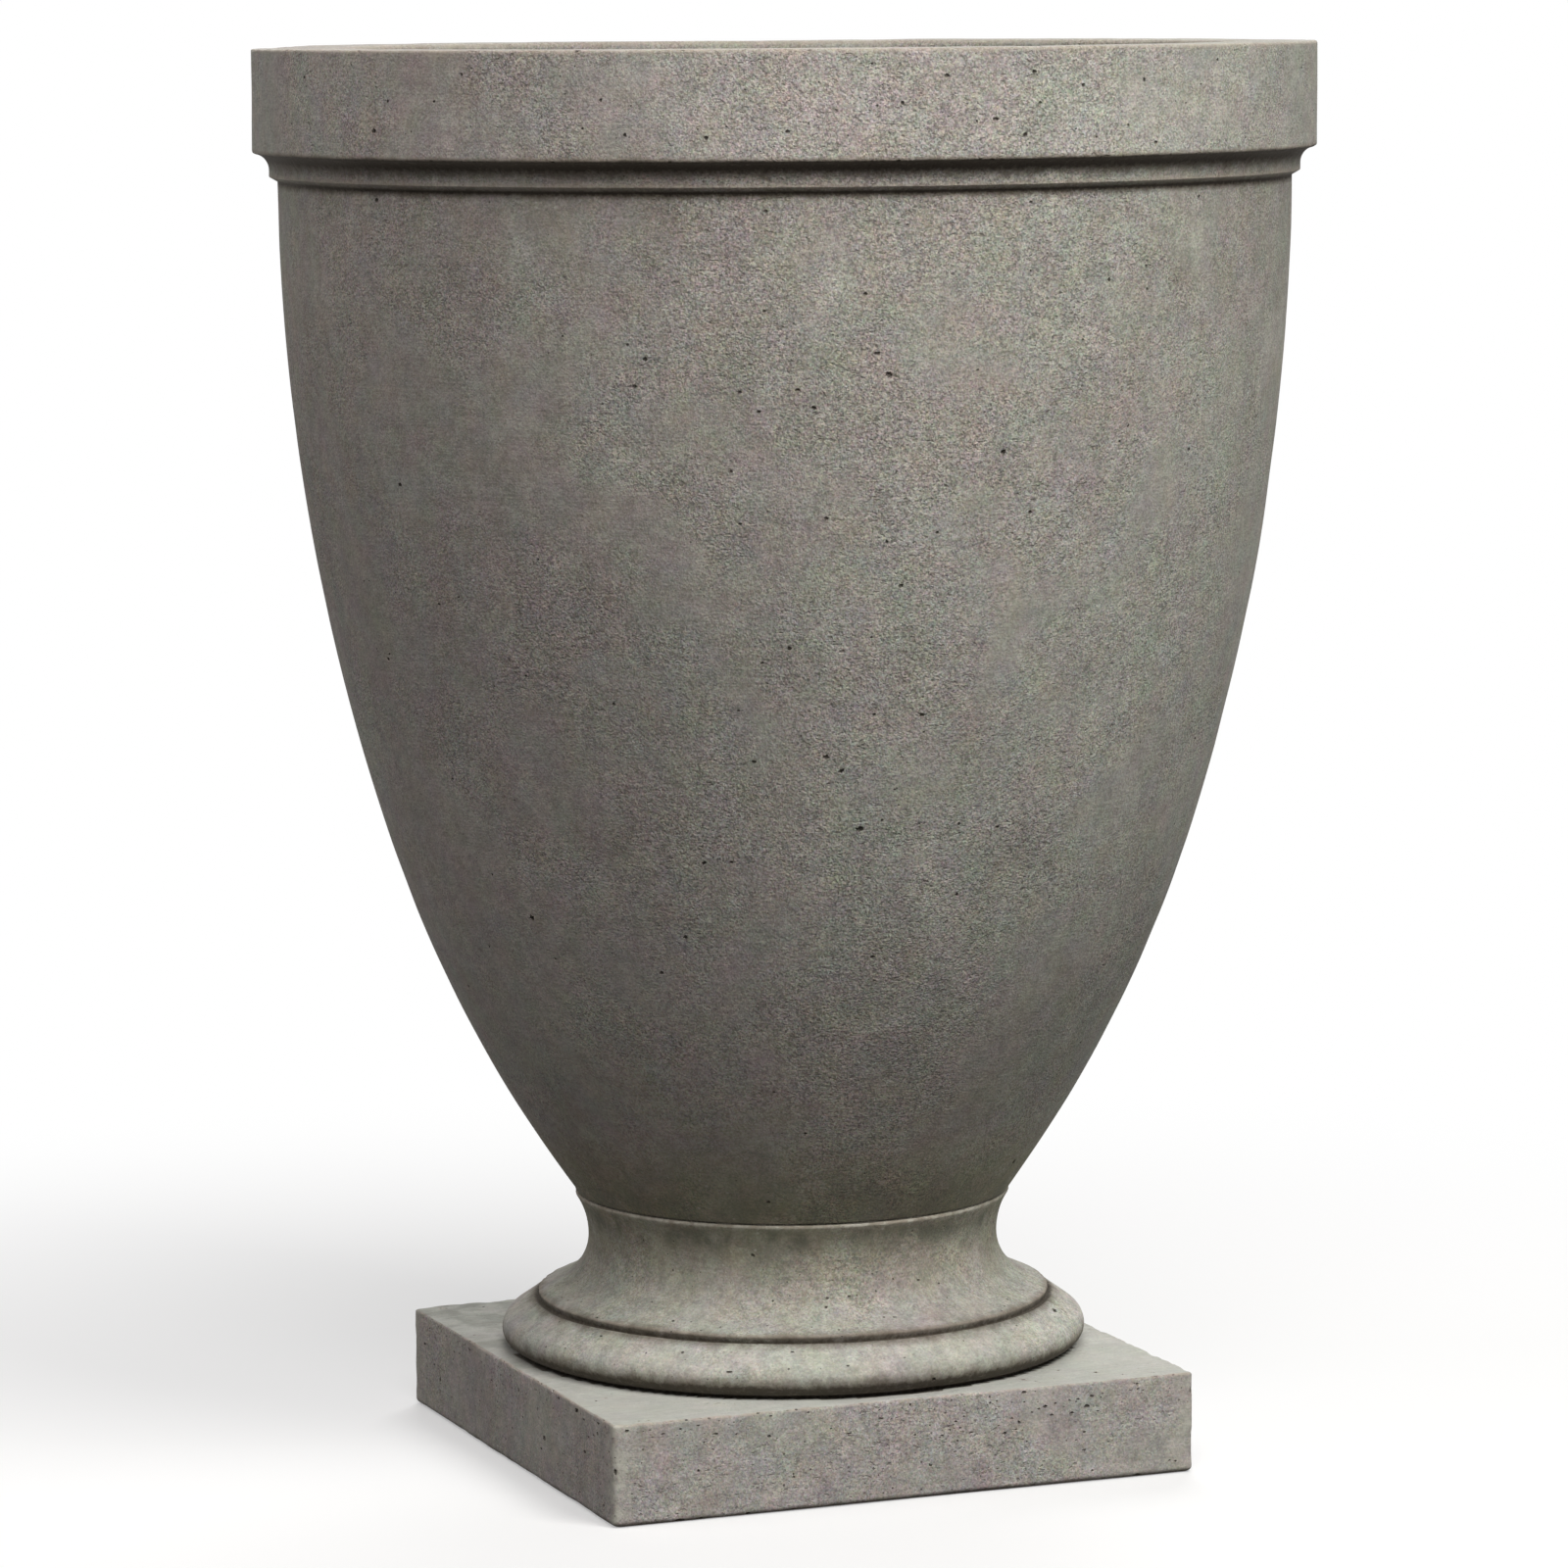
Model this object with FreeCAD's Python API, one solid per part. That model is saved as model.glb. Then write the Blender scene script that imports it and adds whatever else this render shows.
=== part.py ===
import FreeCAD, Part
import math
import os

# A cast-stone urn planter in two castings. The tall bowl stands on a turned foot with a square plinth.
# Millimetres and degrees, +Z up, the origin on the ground at the middle of the plinth.
# A turned form is drawn as half its outline, as points at a radius and a height, and swung round Z.

# Overall sizes
overall_height = 763.0
rim_radius = 286.0

# Rim: a flat band over a hollow moulding (the cavetto) that ends in a thin bead
band_height = 56.0
band_edge_ease = 1.5
mouth_edge_ease = 3.0
cavetto_radius = 9.0
bead_flat_height = 3.5
bead_underside_drop = 4.0
bead_projection = 4.5

# Bowl: its side leans in from upright under the bead to the flare angle at its base
wall_thickness = 32.0
knee_angle = 17.4
flare_angle = 35.7
base_thickness = 45.0
floor_fall = 4.0
floor_corner_round = 28.0

# Foot, upwards from the plinth: torus, groove, nose, hollow scotia and the lip that the bowl stands on
plinth_height = 54.5
plinth_margin = 5.5
plinth_corner_round = 4.0
plinth_top_ease = 1.5
plinth_bottom_ease = 3.0
waist_radius = 112.0
waist_rise = 61.0
lip_projection = 8.0
lip_rise = 86.0
lip_reveal = 1.2
scotia_radius = 28.0
scotia_sweep = 67.0
nose_projection = 28.3
groove_setback = 2.0
groove_rise = 25.0
crest_setback = 17.5
torus_projection = 48.0
torus_rise = 9.5
torus_top_radius = 11.0
torus_bottom_radius = 8.0
torus_flank_angle = 55.0
undercut_setback = 16.0

# Core that hollows the foot from below
core_mouth_radius = 92.0
core_top_radius = 62.0
core_ceiling = 52.0
core_round = 12.0

# Neck joint: a thin bed of mortar and three steel dowels round the drain
bed_thickness = 1.0
bed_setback = 4.0
dowel_radius = 6.0
dowel_circle_radius = 78.0
dowel_count = 3
dowel_depth_in_foot = 32.0
dowel_depth_in_bowl = 26.0
dowel_clearance = 0.5
dowel_end_gap = 2.0

# Drain: a plastic sleeve from the bowl's floor into the hollow foot
sleeve_bore_radius = 13.0
sleeve_wall = 3.5
sleeve_fit_gap = 0.3
sleeve_passage_gap = 2.5
sleeve_drip_length = 10.0

# How round stretches are drawn, so that the solids mesh lightly. The bowl's long outer arcs are true
# arcs in a few equal parts. The small mouldings are short straight runs with their ends on the circle,
# and the cavity's side is a few plain tapers, as its core has.
upper_side_parts = 5
lower_side_parts = 3
upper_cavity_tapers = 2
lower_cavity_tapers = 1
moulding_error = 0.6

# Places that follow from the sizes above
lip_radius = waist_radius + lip_projection
torus_radius = waist_radius + torus_projection
nose_radius = waist_radius + nose_projection
plinth_side = 2 * (torus_radius + plinth_margin)
waist_height = plinth_height + waist_rise
foot_height = plinth_height + lip_rise
core_height = foot_height - core_ceiling
bowl_base_height = foot_height + bed_thickness
bowl_base_radius = lip_radius - lip_reveal
band_bottom_height = overall_height - band_height
bead_radius = rim_radius - cavetto_radius
body_radius = bead_radius - bead_projection
cavetto_centre_height = band_bottom_height - cavetto_radius
bead_bottom_height = cavetto_centre_height - bead_flat_height
body_top_height = bead_bottom_height - bead_underside_drop
mouth_radius = body_radius - wall_thickness
floor_height = bowl_base_height + base_thickness
drain_height = floor_height - floor_fall
sleeve_radius = sleeve_bore_radius + sleeve_wall
sleeve_bottom_height = core_height - sleeve_drip_length


def at(radius, height):
    """Point of a half outline."""
    return FreeCAD.Vector(radius, 0, height)


def around(centre, radius, angle):
    """Point at an angle above level on a circle of the half outline."""
    turn = math.radians(angle)
    return centre + at(radius * math.cos(turn), radius * math.sin(turn))


def angle_at_height(centre, radius, height):
    """Angle above level at which a circle passes a height, on the side away from the axis."""
    return math.degrees(math.asin((height - centre.z) / radius))


def steps(first, last, count):
    """Evenly spaced values from the first to the last, with both of them."""
    return [first + (last - first) * number / count for number in range(count + 1)]


def runs(points):
    """Straight stretches of an outline through points, one after the other."""
    return [Part.LineSegment(start, end).toShape() for start, end in zip(points, points[1:])]


def arcs(centre, radius, first_angle, last_angle, parts):
    """Round stretch of an outline as equal arcs, one after the other."""
    angles = steps(first_angle, last_angle, 2 * parts)
    points = [around(centre, radius, angle) for angle in angles]
    return [Part.Arc(*points[place:place + 3]).toShape() for place in range(0, 2 * parts, 2)]


def moulding(centre, radius, first_angle, last_angle):
    """Points along a small round stretch, whose straight runs stray from it by the error at most."""
    widest = 2 * math.degrees(math.acos(1 - moulding_error / radius))
    count = math.ceil(abs(last_angle - first_angle) / widest)
    return [around(centre, radius, angle) for angle in steps(first_angle, last_angle, count)]


def eased(before, corner, after, reach):
    """Two points that cut a corner at the same distance from it on both sides."""
    return [corner + (end - corner).normalize() * reach for end in (before, after)]


def rounded(before, corner, after, radius):
    """Points along the arc that rounds a corner of an outline, from one side of it to the other."""
    back = (before - corner).normalize()
    ahead = (after - corner).normalize()
    half_angle = back.getAngle(ahead) / 2
    centre = corner + (back + ahead).normalize() * (radius / math.sin(half_angle))
    start = corner + back * (radius / math.tan(half_angle)) - centre
    end = corner + ahead * (radius / math.tan(half_angle)) - centre
    first_angle = math.degrees(math.atan2(start.z, start.x))
    sweep = math.degrees(math.atan2(start.x * end.z - start.z * end.x, start.dot(end)))
    return moulding(centre, radius, first_angle, first_angle + sweep)


def turned(edges):
    """Solid swung round Z from a closed half outline."""
    face = Part.Face(Part.Wire(edges))
    return face.revolve(FreeCAD.Vector(0, 0, 0), FreeCAD.Vector(0, 0, 1), 360)


def upright_cylinder(radius, bottom, top, centre=FreeCAD.Vector(0, 0, 0)):
    """Round bar or hole between two heights."""
    return Part.makeCylinder(radius, top - bottom, centre + FreeCAD.Vector(0, 0, bottom))


def side_arcs():
    """Centres and radii of the two arcs of the bowl's outer side, which meet without a kink.

    The upper arc leaves the body's top upright and turns to the knee angle. The lower one turns on
    to the flare angle at the base. Their widths and heights add up to the bowl's, which gives both radii.
    """
    knee = math.radians(knee_angle)
    flare = math.radians(flare_angle)
    width = body_radius - bowl_base_radius
    height = body_top_height - bowl_base_height
    upper_width = 1 - math.cos(knee)
    upper_height = math.sin(knee)
    lower_width = math.cos(knee) - math.cos(flare)
    lower_height = math.sin(flare) - math.sin(knee)
    share = upper_width * lower_height - lower_width * upper_height
    upper_radius = (width * lower_height - height * lower_width) / share
    lower_radius = (height * upper_width - width * upper_height) / share
    upper_centre = at(body_radius - upper_radius, body_top_height)
    knee_point = around(upper_centre, upper_radius, -knee_angle)
    lower_centre = around(knee_point, -lower_radius, -knee_angle)
    return upper_centre, upper_radius, lower_centre, lower_radius


def bowl_body():
    """The bowl's outer form, solid to the axis, from its flat base to the rim's top."""
    upper_centre, upper_radius, lower_centre, lower_radius = side_arcs()
    base_middle = at(0, bowl_base_height)
    base_edge = around(lower_centre, lower_radius, -flare_angle)
    cavetto_centre = at(rim_radius, cavetto_centre_height)
    cavetto = moulding(cavetto_centre, cavetto_radius, 180, 90)
    rim_edge = at(rim_radius, overall_height)
    top_middle = at(0, overall_height)
    rim = [
        at(body_radius, body_top_height),
        at(bead_radius, bead_bottom_height),
        *cavetto,
        *eased(cavetto[-1], rim_edge, top_middle, band_edge_ease),
        top_middle,
        base_middle,
    ]
    return turned([
        *runs([base_middle, base_edge]),
        *arcs(lower_centre, lower_radius, -flare_angle, -knee_angle, lower_side_parts),
        *arcs(upper_centre, upper_radius, -knee_angle, 0, upper_side_parts),
        *runs(rim),
    ])


def bowl_cavity():
    """The planting space: the side moved in by the wall, over a floor that falls to the drain."""
    upper_centre, upper_radius, lower_centre, lower_radius = side_arcs()
    upper_inner = upper_radius - wall_thickness
    lower_inner = lower_radius - wall_thickness
    floor_angle = angle_at_height(lower_centre, lower_inner, floor_height)
    lower_angles = steps(floor_angle, -knee_angle, lower_cavity_tapers)
    upper_angles = steps(-knee_angle, 0, upper_cavity_tapers)
    lower_wall = [around(lower_centre, lower_inner, angle) for angle in lower_angles]
    upper_wall = [around(upper_centre, upper_inner, angle) for angle in upper_angles]
    drain_middle = at(0, drain_height)
    drain_edge = at(sleeve_radius, drain_height)
    mouth = at(mouth_radius, overall_height)
    rim_edge = at(rim_radius, overall_height)
    outline = [
        drain_middle,
        drain_edge,
        *rounded(drain_edge, lower_wall[0], lower_wall[1], floor_corner_round),
        *lower_wall[1:],
        *upper_wall[1:],
        *eased(upper_wall[-1], mouth, rim_edge, mouth_edge_ease),
        at(0, overall_height),
        drain_middle,
    ]
    return turned(runs(outline))


def dowel_places():
    """Points on the ground under the dowels."""
    turns = [2 * math.pi * number / dowel_count for number in range(dowel_count)]
    return [FreeCAD.Vector(math.cos(turn), math.sin(turn), 0) * dowel_circle_radius for turn in turns]


def dowel_holes():
    """Holes for the dowels through the joint, from the foot's sockets up into the bowl's base."""
    bottom = foot_height - dowel_depth_in_foot
    top = bowl_base_height + dowel_depth_in_bowl + dowel_end_gap
    radius = dowel_radius + dowel_clearance
    return [upright_cylinder(radius, bottom, top, place) for place in dowel_places()]


def make_bowl():
    """Bowl casting, open at the mouth, with the drain hole and blind dowel holes in its base."""
    drain_hole = upright_cylinder(sleeve_radius + sleeve_fit_gap, bowl_base_height, floor_height)
    return bowl_body().cut([bowl_cavity(), drain_hole, *dowel_holes()])


def neck_outline():
    """The foot's neck from the nose up: the scotia's tight lower arc, then its wide arc to the lip."""
    upper_rise = lip_rise - waist_rise
    hollow_radius = (lip_projection**2 + upper_rise**2) / (2 * lip_projection)
    hollow_centre = at(waist_radius + hollow_radius, waist_height)
    lip_angle = 180 - angle_at_height(hollow_centre, hollow_radius, foot_height)
    scotia_centre = at(waist_radius + scotia_radius, waist_height)
    scotia = moulding(scotia_centre, scotia_radius, 180 + scotia_sweep, 180)
    return scotia + moulding(hollow_centre, hollow_radius, 180, lip_angle)[1:]


def torus_outline():
    """The torus from its flat underside round to the crest beside the groove."""
    height = plinth_height + torus_rise
    top_centre = at(torus_radius - torus_top_radius, height)
    bottom_centre = at(torus_radius - torus_bottom_radius, height)
    bottom = moulding(bottom_centre, torus_bottom_radius, -90, 0)
    top = moulding(top_centre, torus_top_radius, 0, torus_flank_angle)
    crest_radius = torus_radius - crest_setback
    flank_slope = math.tan(math.radians(torus_flank_angle))
    crest = at(crest_radius, top[-1].z + (top[-1].x - crest_radius) / flank_slope)
    return bottom + top[1:] + [crest]


def foot_turning():
    """The foot's turned mouldings, solid to the axis, rooted in the plinth."""
    neck = neck_outline()
    torus = torus_outline()
    undercut_radius = torus_radius - undercut_setback
    root_bottom = plinth_height / 2
    groove = at(nose_radius - groove_setback, plinth_height + groove_rise)
    nose_slope = math.tan(math.radians(90 - scotia_sweep))
    nose_height = neck[0].z - nose_slope * (nose_radius - neck[0].x)
    outline = [
        at(0, root_bottom),
        at(undercut_radius, root_bottom),
        at(undercut_radius, torus[0].z),
        *torus,
        groove,
        at(nose_radius, nose_height),
        *neck,
        at(0, foot_height),
        at(0, root_bottom),
    ]
    return turned(runs(outline))


def plinth_block():
    """Square plinth with round upright corners and eased top and bottom edges."""
    corner = FreeCAD.Vector(-plinth_side / 2, -plinth_side / 2, 0)
    block = Part.makeBox(plinth_side, plinth_side, plinth_height, corner)
    upright = [edge for edge in block.Edges if edge.BoundBox.ZLength > plinth_height / 2]
    block = block.makeFillet(plinth_corner_round, upright)
    top = [edge for edge in block.Edges if edge.BoundBox.ZMin > plinth_height / 2]
    block = block.makeChamfer(plinth_top_ease, top)
    bottom = [edge for edge in block.Edges if edge.BoundBox.ZMax < plinth_height / 2]
    return block.makeChamfer(plinth_bottom_ease, bottom)


def foot_core():
    """Tapered hollow that lightens the foot from below."""
    mouth = at(core_mouth_radius, 0)
    top_edge = at(core_top_radius, core_height)
    top_middle = at(0, core_height)
    corner = rounded(mouth, top_edge, top_middle, core_round)
    return turned(runs([at(0, 0), mouth, *corner, top_middle, at(0, 0)]))


def make_foot():
    """Foot casting with its plinth, hollow below, with the drain passage and the dowels' sockets."""
    passage = upright_cylinder(sleeve_radius + sleeve_passage_gap, core_height - core_round, foot_height)
    body = foot_turning().fuse(plinth_block()).removeSplitter()
    return body.cut([foot_core(), passage, *dowel_holes()])


def make_neck_mortar():
    """Thin bed between the castings, held back from the lip, with room for the drain and the dowels."""
    bed = upright_cylinder(bowl_base_radius - bed_setback, foot_height, bowl_base_height)
    drain_room = upright_cylinder(sleeve_radius + sleeve_passage_gap, foot_height, bowl_base_height)
    return bed.cut([drain_room, *dowel_holes()])


def make_neck_dowels():
    """Steel dowels that stand in the foot and enter the bowl's base."""
    bottom = foot_height - dowel_depth_in_foot
    top = bowl_base_height + dowel_depth_in_bowl
    dowels = [upright_cylinder(dowel_radius, bottom, top, place) for place in dowel_places()]
    return Part.makeCompound(dowels)


def make_drain_sleeve():
    """Plastic sleeve, flush with the low point of the bowl's floor, that drips into the hollow foot."""
    outside = upright_cylinder(sleeve_radius, sleeve_bottom_height, drain_height)
    return outside.cut(upright_cylinder(sleeve_bore_radius, sleeve_bottom_height, drain_height))


def main():
    """Builds every piece and writes it under its own name."""
    os.makedirs("parts", exist_ok=True)
    pieces = {
        "bowl": make_bowl(),
        "foot": make_foot(),
        "neck_mortar": make_neck_mortar(),
        "neck_dowels": make_neck_dowels(),
        "drain_sleeve": make_drain_sleeve(),
    }
    for name, shape in pieces.items():
        shape.exportStep(f"parts/{name}.step")
        litres = shape.Volume / 1e6
        print(f"{name}: solids {len(shape.Solids)}, valid {shape.isValid()}, {litres:.3f} litres")


main()
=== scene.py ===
"""The cast-stone urn planter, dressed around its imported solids.

The bowl, the foot, the mortar bed and the drain sleeve are rebuilt as finer meshes with round mouldings. The
two castings get open air pits and worn edges. The dowels keep their solids and get a finish.
Metres, +Z up, the origin on the ground at the middle of the square plinth.
"""
import logging
import math
from dataclasses import dataclass
from enum import Enum
from typing import Callable, Iterable, Sequence

import bpy
import numpy as np
from mathutils import Matrix, Vector, noise
from mathutils.bvhtree import BVHTree


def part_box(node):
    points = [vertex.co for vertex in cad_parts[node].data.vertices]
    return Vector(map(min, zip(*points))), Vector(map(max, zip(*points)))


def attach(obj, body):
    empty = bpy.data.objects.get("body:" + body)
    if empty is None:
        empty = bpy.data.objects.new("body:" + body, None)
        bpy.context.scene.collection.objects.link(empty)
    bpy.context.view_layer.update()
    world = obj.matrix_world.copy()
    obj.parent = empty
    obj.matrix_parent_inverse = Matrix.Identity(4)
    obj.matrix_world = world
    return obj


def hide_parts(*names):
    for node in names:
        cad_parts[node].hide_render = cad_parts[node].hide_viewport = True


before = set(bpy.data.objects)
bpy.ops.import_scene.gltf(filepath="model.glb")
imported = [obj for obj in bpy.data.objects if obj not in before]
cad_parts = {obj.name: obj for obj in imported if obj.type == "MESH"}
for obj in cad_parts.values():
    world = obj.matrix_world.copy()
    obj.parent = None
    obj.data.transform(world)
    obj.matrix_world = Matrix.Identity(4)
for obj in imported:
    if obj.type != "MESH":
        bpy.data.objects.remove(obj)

LOG = logging.getLogger("urn")
MM = 0.001
BODY = "root"
Colour = tuple[float, float, float]
Place = tuple[float, float]


class Bite(Enum):
    """How a small piece of stone is missing."""

    PIT = "pit"
    CHIP = "chip"
    SCRATCH = "scratch"


class Cut(Enum):
    """How one closed mesh acts on another."""

    JOIN = "UNION"
    TAKE_AWAY = "DIFFERENCE"


# ---------------------------------------------------------------------------------------- turned forms


class Outline:
    """Half of a turned form's outline: points at a radius and a height, in metres."""

    def __init__(self, radius: float, height: float) -> None:
        """Starts the outline at one point."""
        self.points: list[Place] = [(radius, height)]

    def add(self, radius: float, height: float) -> None:
        """Adds a point, unless the outline stands on it already."""
        last = self.points[-1]
        if math.hypot(radius - last[0], height - last[1]) > 0.02 * MM:
            self.points.append((radius, height))

    def run(self, radius: float, height: float, step: float = 8 * MM, tuck: float = 0.8 * MM) -> None:
        """Goes straight to a point, with a close row near each end so that eased edges shade tightly.

        Args:
            radius: Where the run ends.
            height: Where the run ends.
            step: About how far apart the rows are.
            tuck: How far the close rows are from the ends.
        """
        start = np.array(self.points[-1])
        end = np.array((radius, height))
        length = float(np.linalg.norm(end - start))
        if length > 4 * tuck:
            count = max(1, round((length - 2 * tuck) / step))
            for mark in np.linspace(tuck, length - tuck, count + 1):
                self.add(*(start + (end - start) * mark / length))
        self.add(radius, height)

    def sweep(self, centre: Place, radius: float, first: float, last: float, step: float) -> None:
        """Follows an arc.

        Args:
            centre: The arc's centre.
            radius: The arc's radius.
            first: Its first angle, in degrees from straight outwards towards up.
            last: Its last angle.
            step: About how far apart the rows are.
        """
        length = math.radians(abs(last - first)) * radius
        for angle in np.radians(np.linspace(first, last, max(2, round(length / step)) + 1)):
            self.add(centre[0] + radius * math.cos(angle), centre[1] + radius * math.sin(angle))

    def corner(self, at: Place, towards: Place, ease: float, parts: int = 4) -> None:
        """Runs to a corner and turns round it on a small arc.

        Args:
            at: Where the corner would be if it were sharp.
            towards: A point that the outline heads for after the corner.
            ease: The small arc's radius.
            parts: How many straight parts stand for the arc.
        """
        tip = np.array(at)
        back = np.array(self.points[-1]) - tip
        back /= np.linalg.norm(back)
        ahead = np.array(towards) - tip
        ahead /= np.linalg.norm(ahead)
        half = math.acos(float(np.clip(back @ ahead, -1, 1))) / 2
        reach = ease / math.tan(half)
        middle = back + ahead
        centre = tip + middle / np.linalg.norm(middle) * ease / math.sin(half)
        first, last = tip + back * reach - centre, tip + ahead * reach - centre
        self.run(*(centre + first))
        turn = math.pi - 2 * half
        for part in range(1, parts + 1):
            share = part / parts
            spoke = (math.sin((1 - share) * turn) * first + math.sin(share * turn) * last) / math.sin(turn)
            self.add(*(centre + spoke))


def triangles(mesh: bpy.types.Mesh) -> np.ndarray:
    """The vertices of each of the mesh's triangles, one row each.

    Args:
        mesh: The mesh.

    Returns:
        The numbers of three vertices in each row.
    """
    mesh.calc_loop_triangles()
    corners = np.empty(len(mesh.loop_triangles) * 3, int)
    mesh.loop_triangles.foreach_get("vertices", corners)
    return corners.reshape(-1, 3)


def new_mesh(name: str, points: np.ndarray, faces: Sequence[Sequence[int]]) -> bpy.types.Mesh:
    """Makes a mesh whose faces look outwards.

    Args:
        name: The mesh's name.
        points: One row of coordinates for each vertex.
        faces: The vertices of each face.

    Returns:
        The mesh.
    """
    mesh = bpy.data.meshes.new(name)
    mesh.from_pydata(points.tolist(), [], faces)
    mesh.update()
    a, b, c = points[triangles(mesh)].swapaxes(0, 1)
    if np.einsum("ij,ij->i", a, np.cross(b, c)).sum() < 0:
        mesh.flip_normals()
    return mesh


def turned(name: str, outline: Sequence[Place], segments: int) -> bpy.types.Mesh:
    """Swings an outline round the axis.

    A closed outline that keeps clear of the axis makes a ring. One that starts and ends on the axis makes a
    solid with a pole at each end.

    Args:
        name: The mesh's name.
        outline: Points of radius and height.
        segments: How many steps the turn takes.

    Returns:
        A closed mesh.
    """
    poled = outline[0][0] == 0
    rows = outline[1:-1] if poled else outline
    turn = np.linspace(0, math.tau, segments, endpoint=False)
    radii, heights = np.array(rows).T
    grid = np.empty((segments, len(rows), 3))
    grid[..., 0] = np.cos(turn)[:, None] * radii
    grid[..., 1] = np.sin(turn)[:, None] * radii
    grid[..., 2] = heights
    points = grid.reshape(-1, 3)
    count = len(rows)
    last = count - 1 if poled else count
    faces = []
    for i in range(segments):
        here, there = i * count, (i + 1) % segments * count
        for j in range(last):
            up = (j + 1) % count
            faces.append((here + j, there + j, there + up, here + up))
    if poled:
        low, high = len(points), len(points) + 1
        points = np.vstack([points, (0, 0, outline[0][1]), (0, 0, outline[-1][1])])
        for i in range(segments):
            here, there = i * count, (i + 1) % segments * count
            faces.append((low, there, here))
            faces.append((high, here + count - 1, there + count - 1))
    return new_mesh(name, points, faces)


# ------------------------------------------------------------------------------- meshes as number arrays


def coordinates(mesh: bpy.types.Mesh) -> np.ndarray:
    """The mesh's vertices, one row each."""
    values = np.empty(len(mesh.vertices) * 3)
    mesh.vertices.foreach_get("co", values)
    return values.reshape(-1, 3)


def vertex_normals(mesh: bpy.types.Mesh) -> np.ndarray:
    """The mesh's vertex normals, one row each."""
    values = np.empty(len(mesh.vertices) * 3)
    mesh.vertex_normals.foreach_get("vector", values)
    return values.reshape(-1, 3)


def lumps(points: np.ndarray, size: float, seed: int) -> np.ndarray:
    """Smooth unevenness.

    Args:
        points: Where it is read, one row each.
        size: About how wide one lump is.
        seed: Which pattern it is.

    Returns:
        One number for each row, from about -1 to 1.
    """
    shift = Vector((seed * 3.7, seed * 1.3, seed * 7.1))
    return np.array([noise.noise(Vector(row) + shift) for row in points / size]) * 1.6


def dips(points: np.ndarray, size: float, seed: int, depth: float, lift: float = 0.0) -> np.ndarray:
    """Shallow dips between lumps, for depth in millimetres: how deep each point lies, in metres."""
    return np.maximum(lumps(points, size, seed) + lift, 0) * depth * MM


def sink(mesh: bpy.types.Mesh, depth: np.ndarray) -> None:
    """Moves each vertex inwards along its normal by its own depth."""
    moved = coordinates(mesh) - vertex_normals(mesh) * depth[:, None]
    mesh.vertices.foreach_set("co", moved.ravel())
    mesh.update()


def radii_of(points: np.ndarray) -> np.ndarray:
    """How far each point is from the axis."""
    return np.hypot(points[:, 0], points[:, 1])


def facing_out(places: np.ndarray, normals: np.ndarray) -> np.ndarray:
    """How squarely each place faces away from the axis, from -1 to 1."""
    return (normals[:, 0] * places[:, 0] + normals[:, 1] * places[:, 1]) / radii_of(places)


def ring_gap(points: np.ndarray, rings: Sequence[Place]) -> np.ndarray:
    """How far each point is from the nearest of some rings round the axis."""
    radii = radii_of(points)
    return np.min([np.hypot(radii - ring[0], points[:, 2] - ring[1]) for ring in rings], axis=0)


def spoke(angle: float) -> Vector:
    """The level direction at an angle round the axis, in radians."""
    return Vector((math.cos(angle), math.sin(angle), 0))


def combined(base: bpy.types.Mesh, steps: Iterable[tuple[Cut, bpy.types.Mesh]]) -> bpy.types.Mesh:
    """Joins closed meshes to a base and takes others away, in order.

    Args:
        base: The closed mesh to start with.
        steps: What each following mesh does.

    Returns:
        One new closed mesh.
    """
    collection = bpy.context.scene.collection
    body = bpy.data.objects.new("blank", base)
    collection.objects.link(body)
    tools = []
    for cut, mesh in steps:
        tool = bpy.data.objects.new("tool", mesh)
        collection.objects.link(tool)
        tools.append(tool)
        modifier = body.modifiers.new(cut.name, "BOOLEAN")
        modifier.operation = cut.value
        modifier.solver = "MANIFOLD"
        modifier.object = tool
    shape = body.evaluated_get(bpy.context.evaluated_depsgraph_get())
    result = bpy.data.meshes.new_from_object(shape)
    for thing in [body, *tools]:
        mesh = thing.data
        bpy.data.objects.remove(thing)
        if mesh is not base:
            bpy.data.meshes.remove(mesh)
    result.materials.clear()
    return result


def keep_numbers(mesh: bpy.types.Mesh, **numbers: np.ndarray | float) -> None:
    """Stores named numbers, one for each vertex or one for all, for the stone's finish to read."""
    for name, values in numbers.items():
        layer = mesh.attributes.new(name, "FLOAT", "POINT")
        layer.data.foreach_set("value", np.full(len(mesh.vertices), values, np.float32))


def shown(
    name: str, mesh: bpy.types.Mesh, finish: bpy.types.Material, node: str, edge_angle: float = 35.0,
) -> bpy.types.Object:
    """Puts a dressed mesh in the scene as a piece that stands for a CAD node, smooth but for its sharp edges.

    Args:
        name: The piece's name.
        mesh: Its mesh.
        finish: Its material.
        node: The CAD node that it stands for.
        edge_angle: Edges that turn further than this stay sharp, in degrees.

    Returns:
        The piece.
    """
    mesh.shade_smooth()
    mesh.set_sharp_from_angle(angle=math.radians(edge_angle))
    mesh.materials.append(finish)
    piece = bpy.data.objects.new(name, mesh)
    bpy.context.scene.collection.objects.link(piece)
    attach(piece, BODY)
    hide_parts(node)
    return piece


# --------------------------------------------------------------------------------------- pits and chips


@dataclass(frozen=True)
class Spot:
    """One place where a little stone is missing."""

    kind: Bite
    centre: Vector
    outwards: Vector
    along: Vector
    length: float
    width: float
    depth: float

    @property
    def reach(self) -> float:
        """How far it spreads from its centre at most."""
        return max(self.length, self.width) * 0.75


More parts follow.
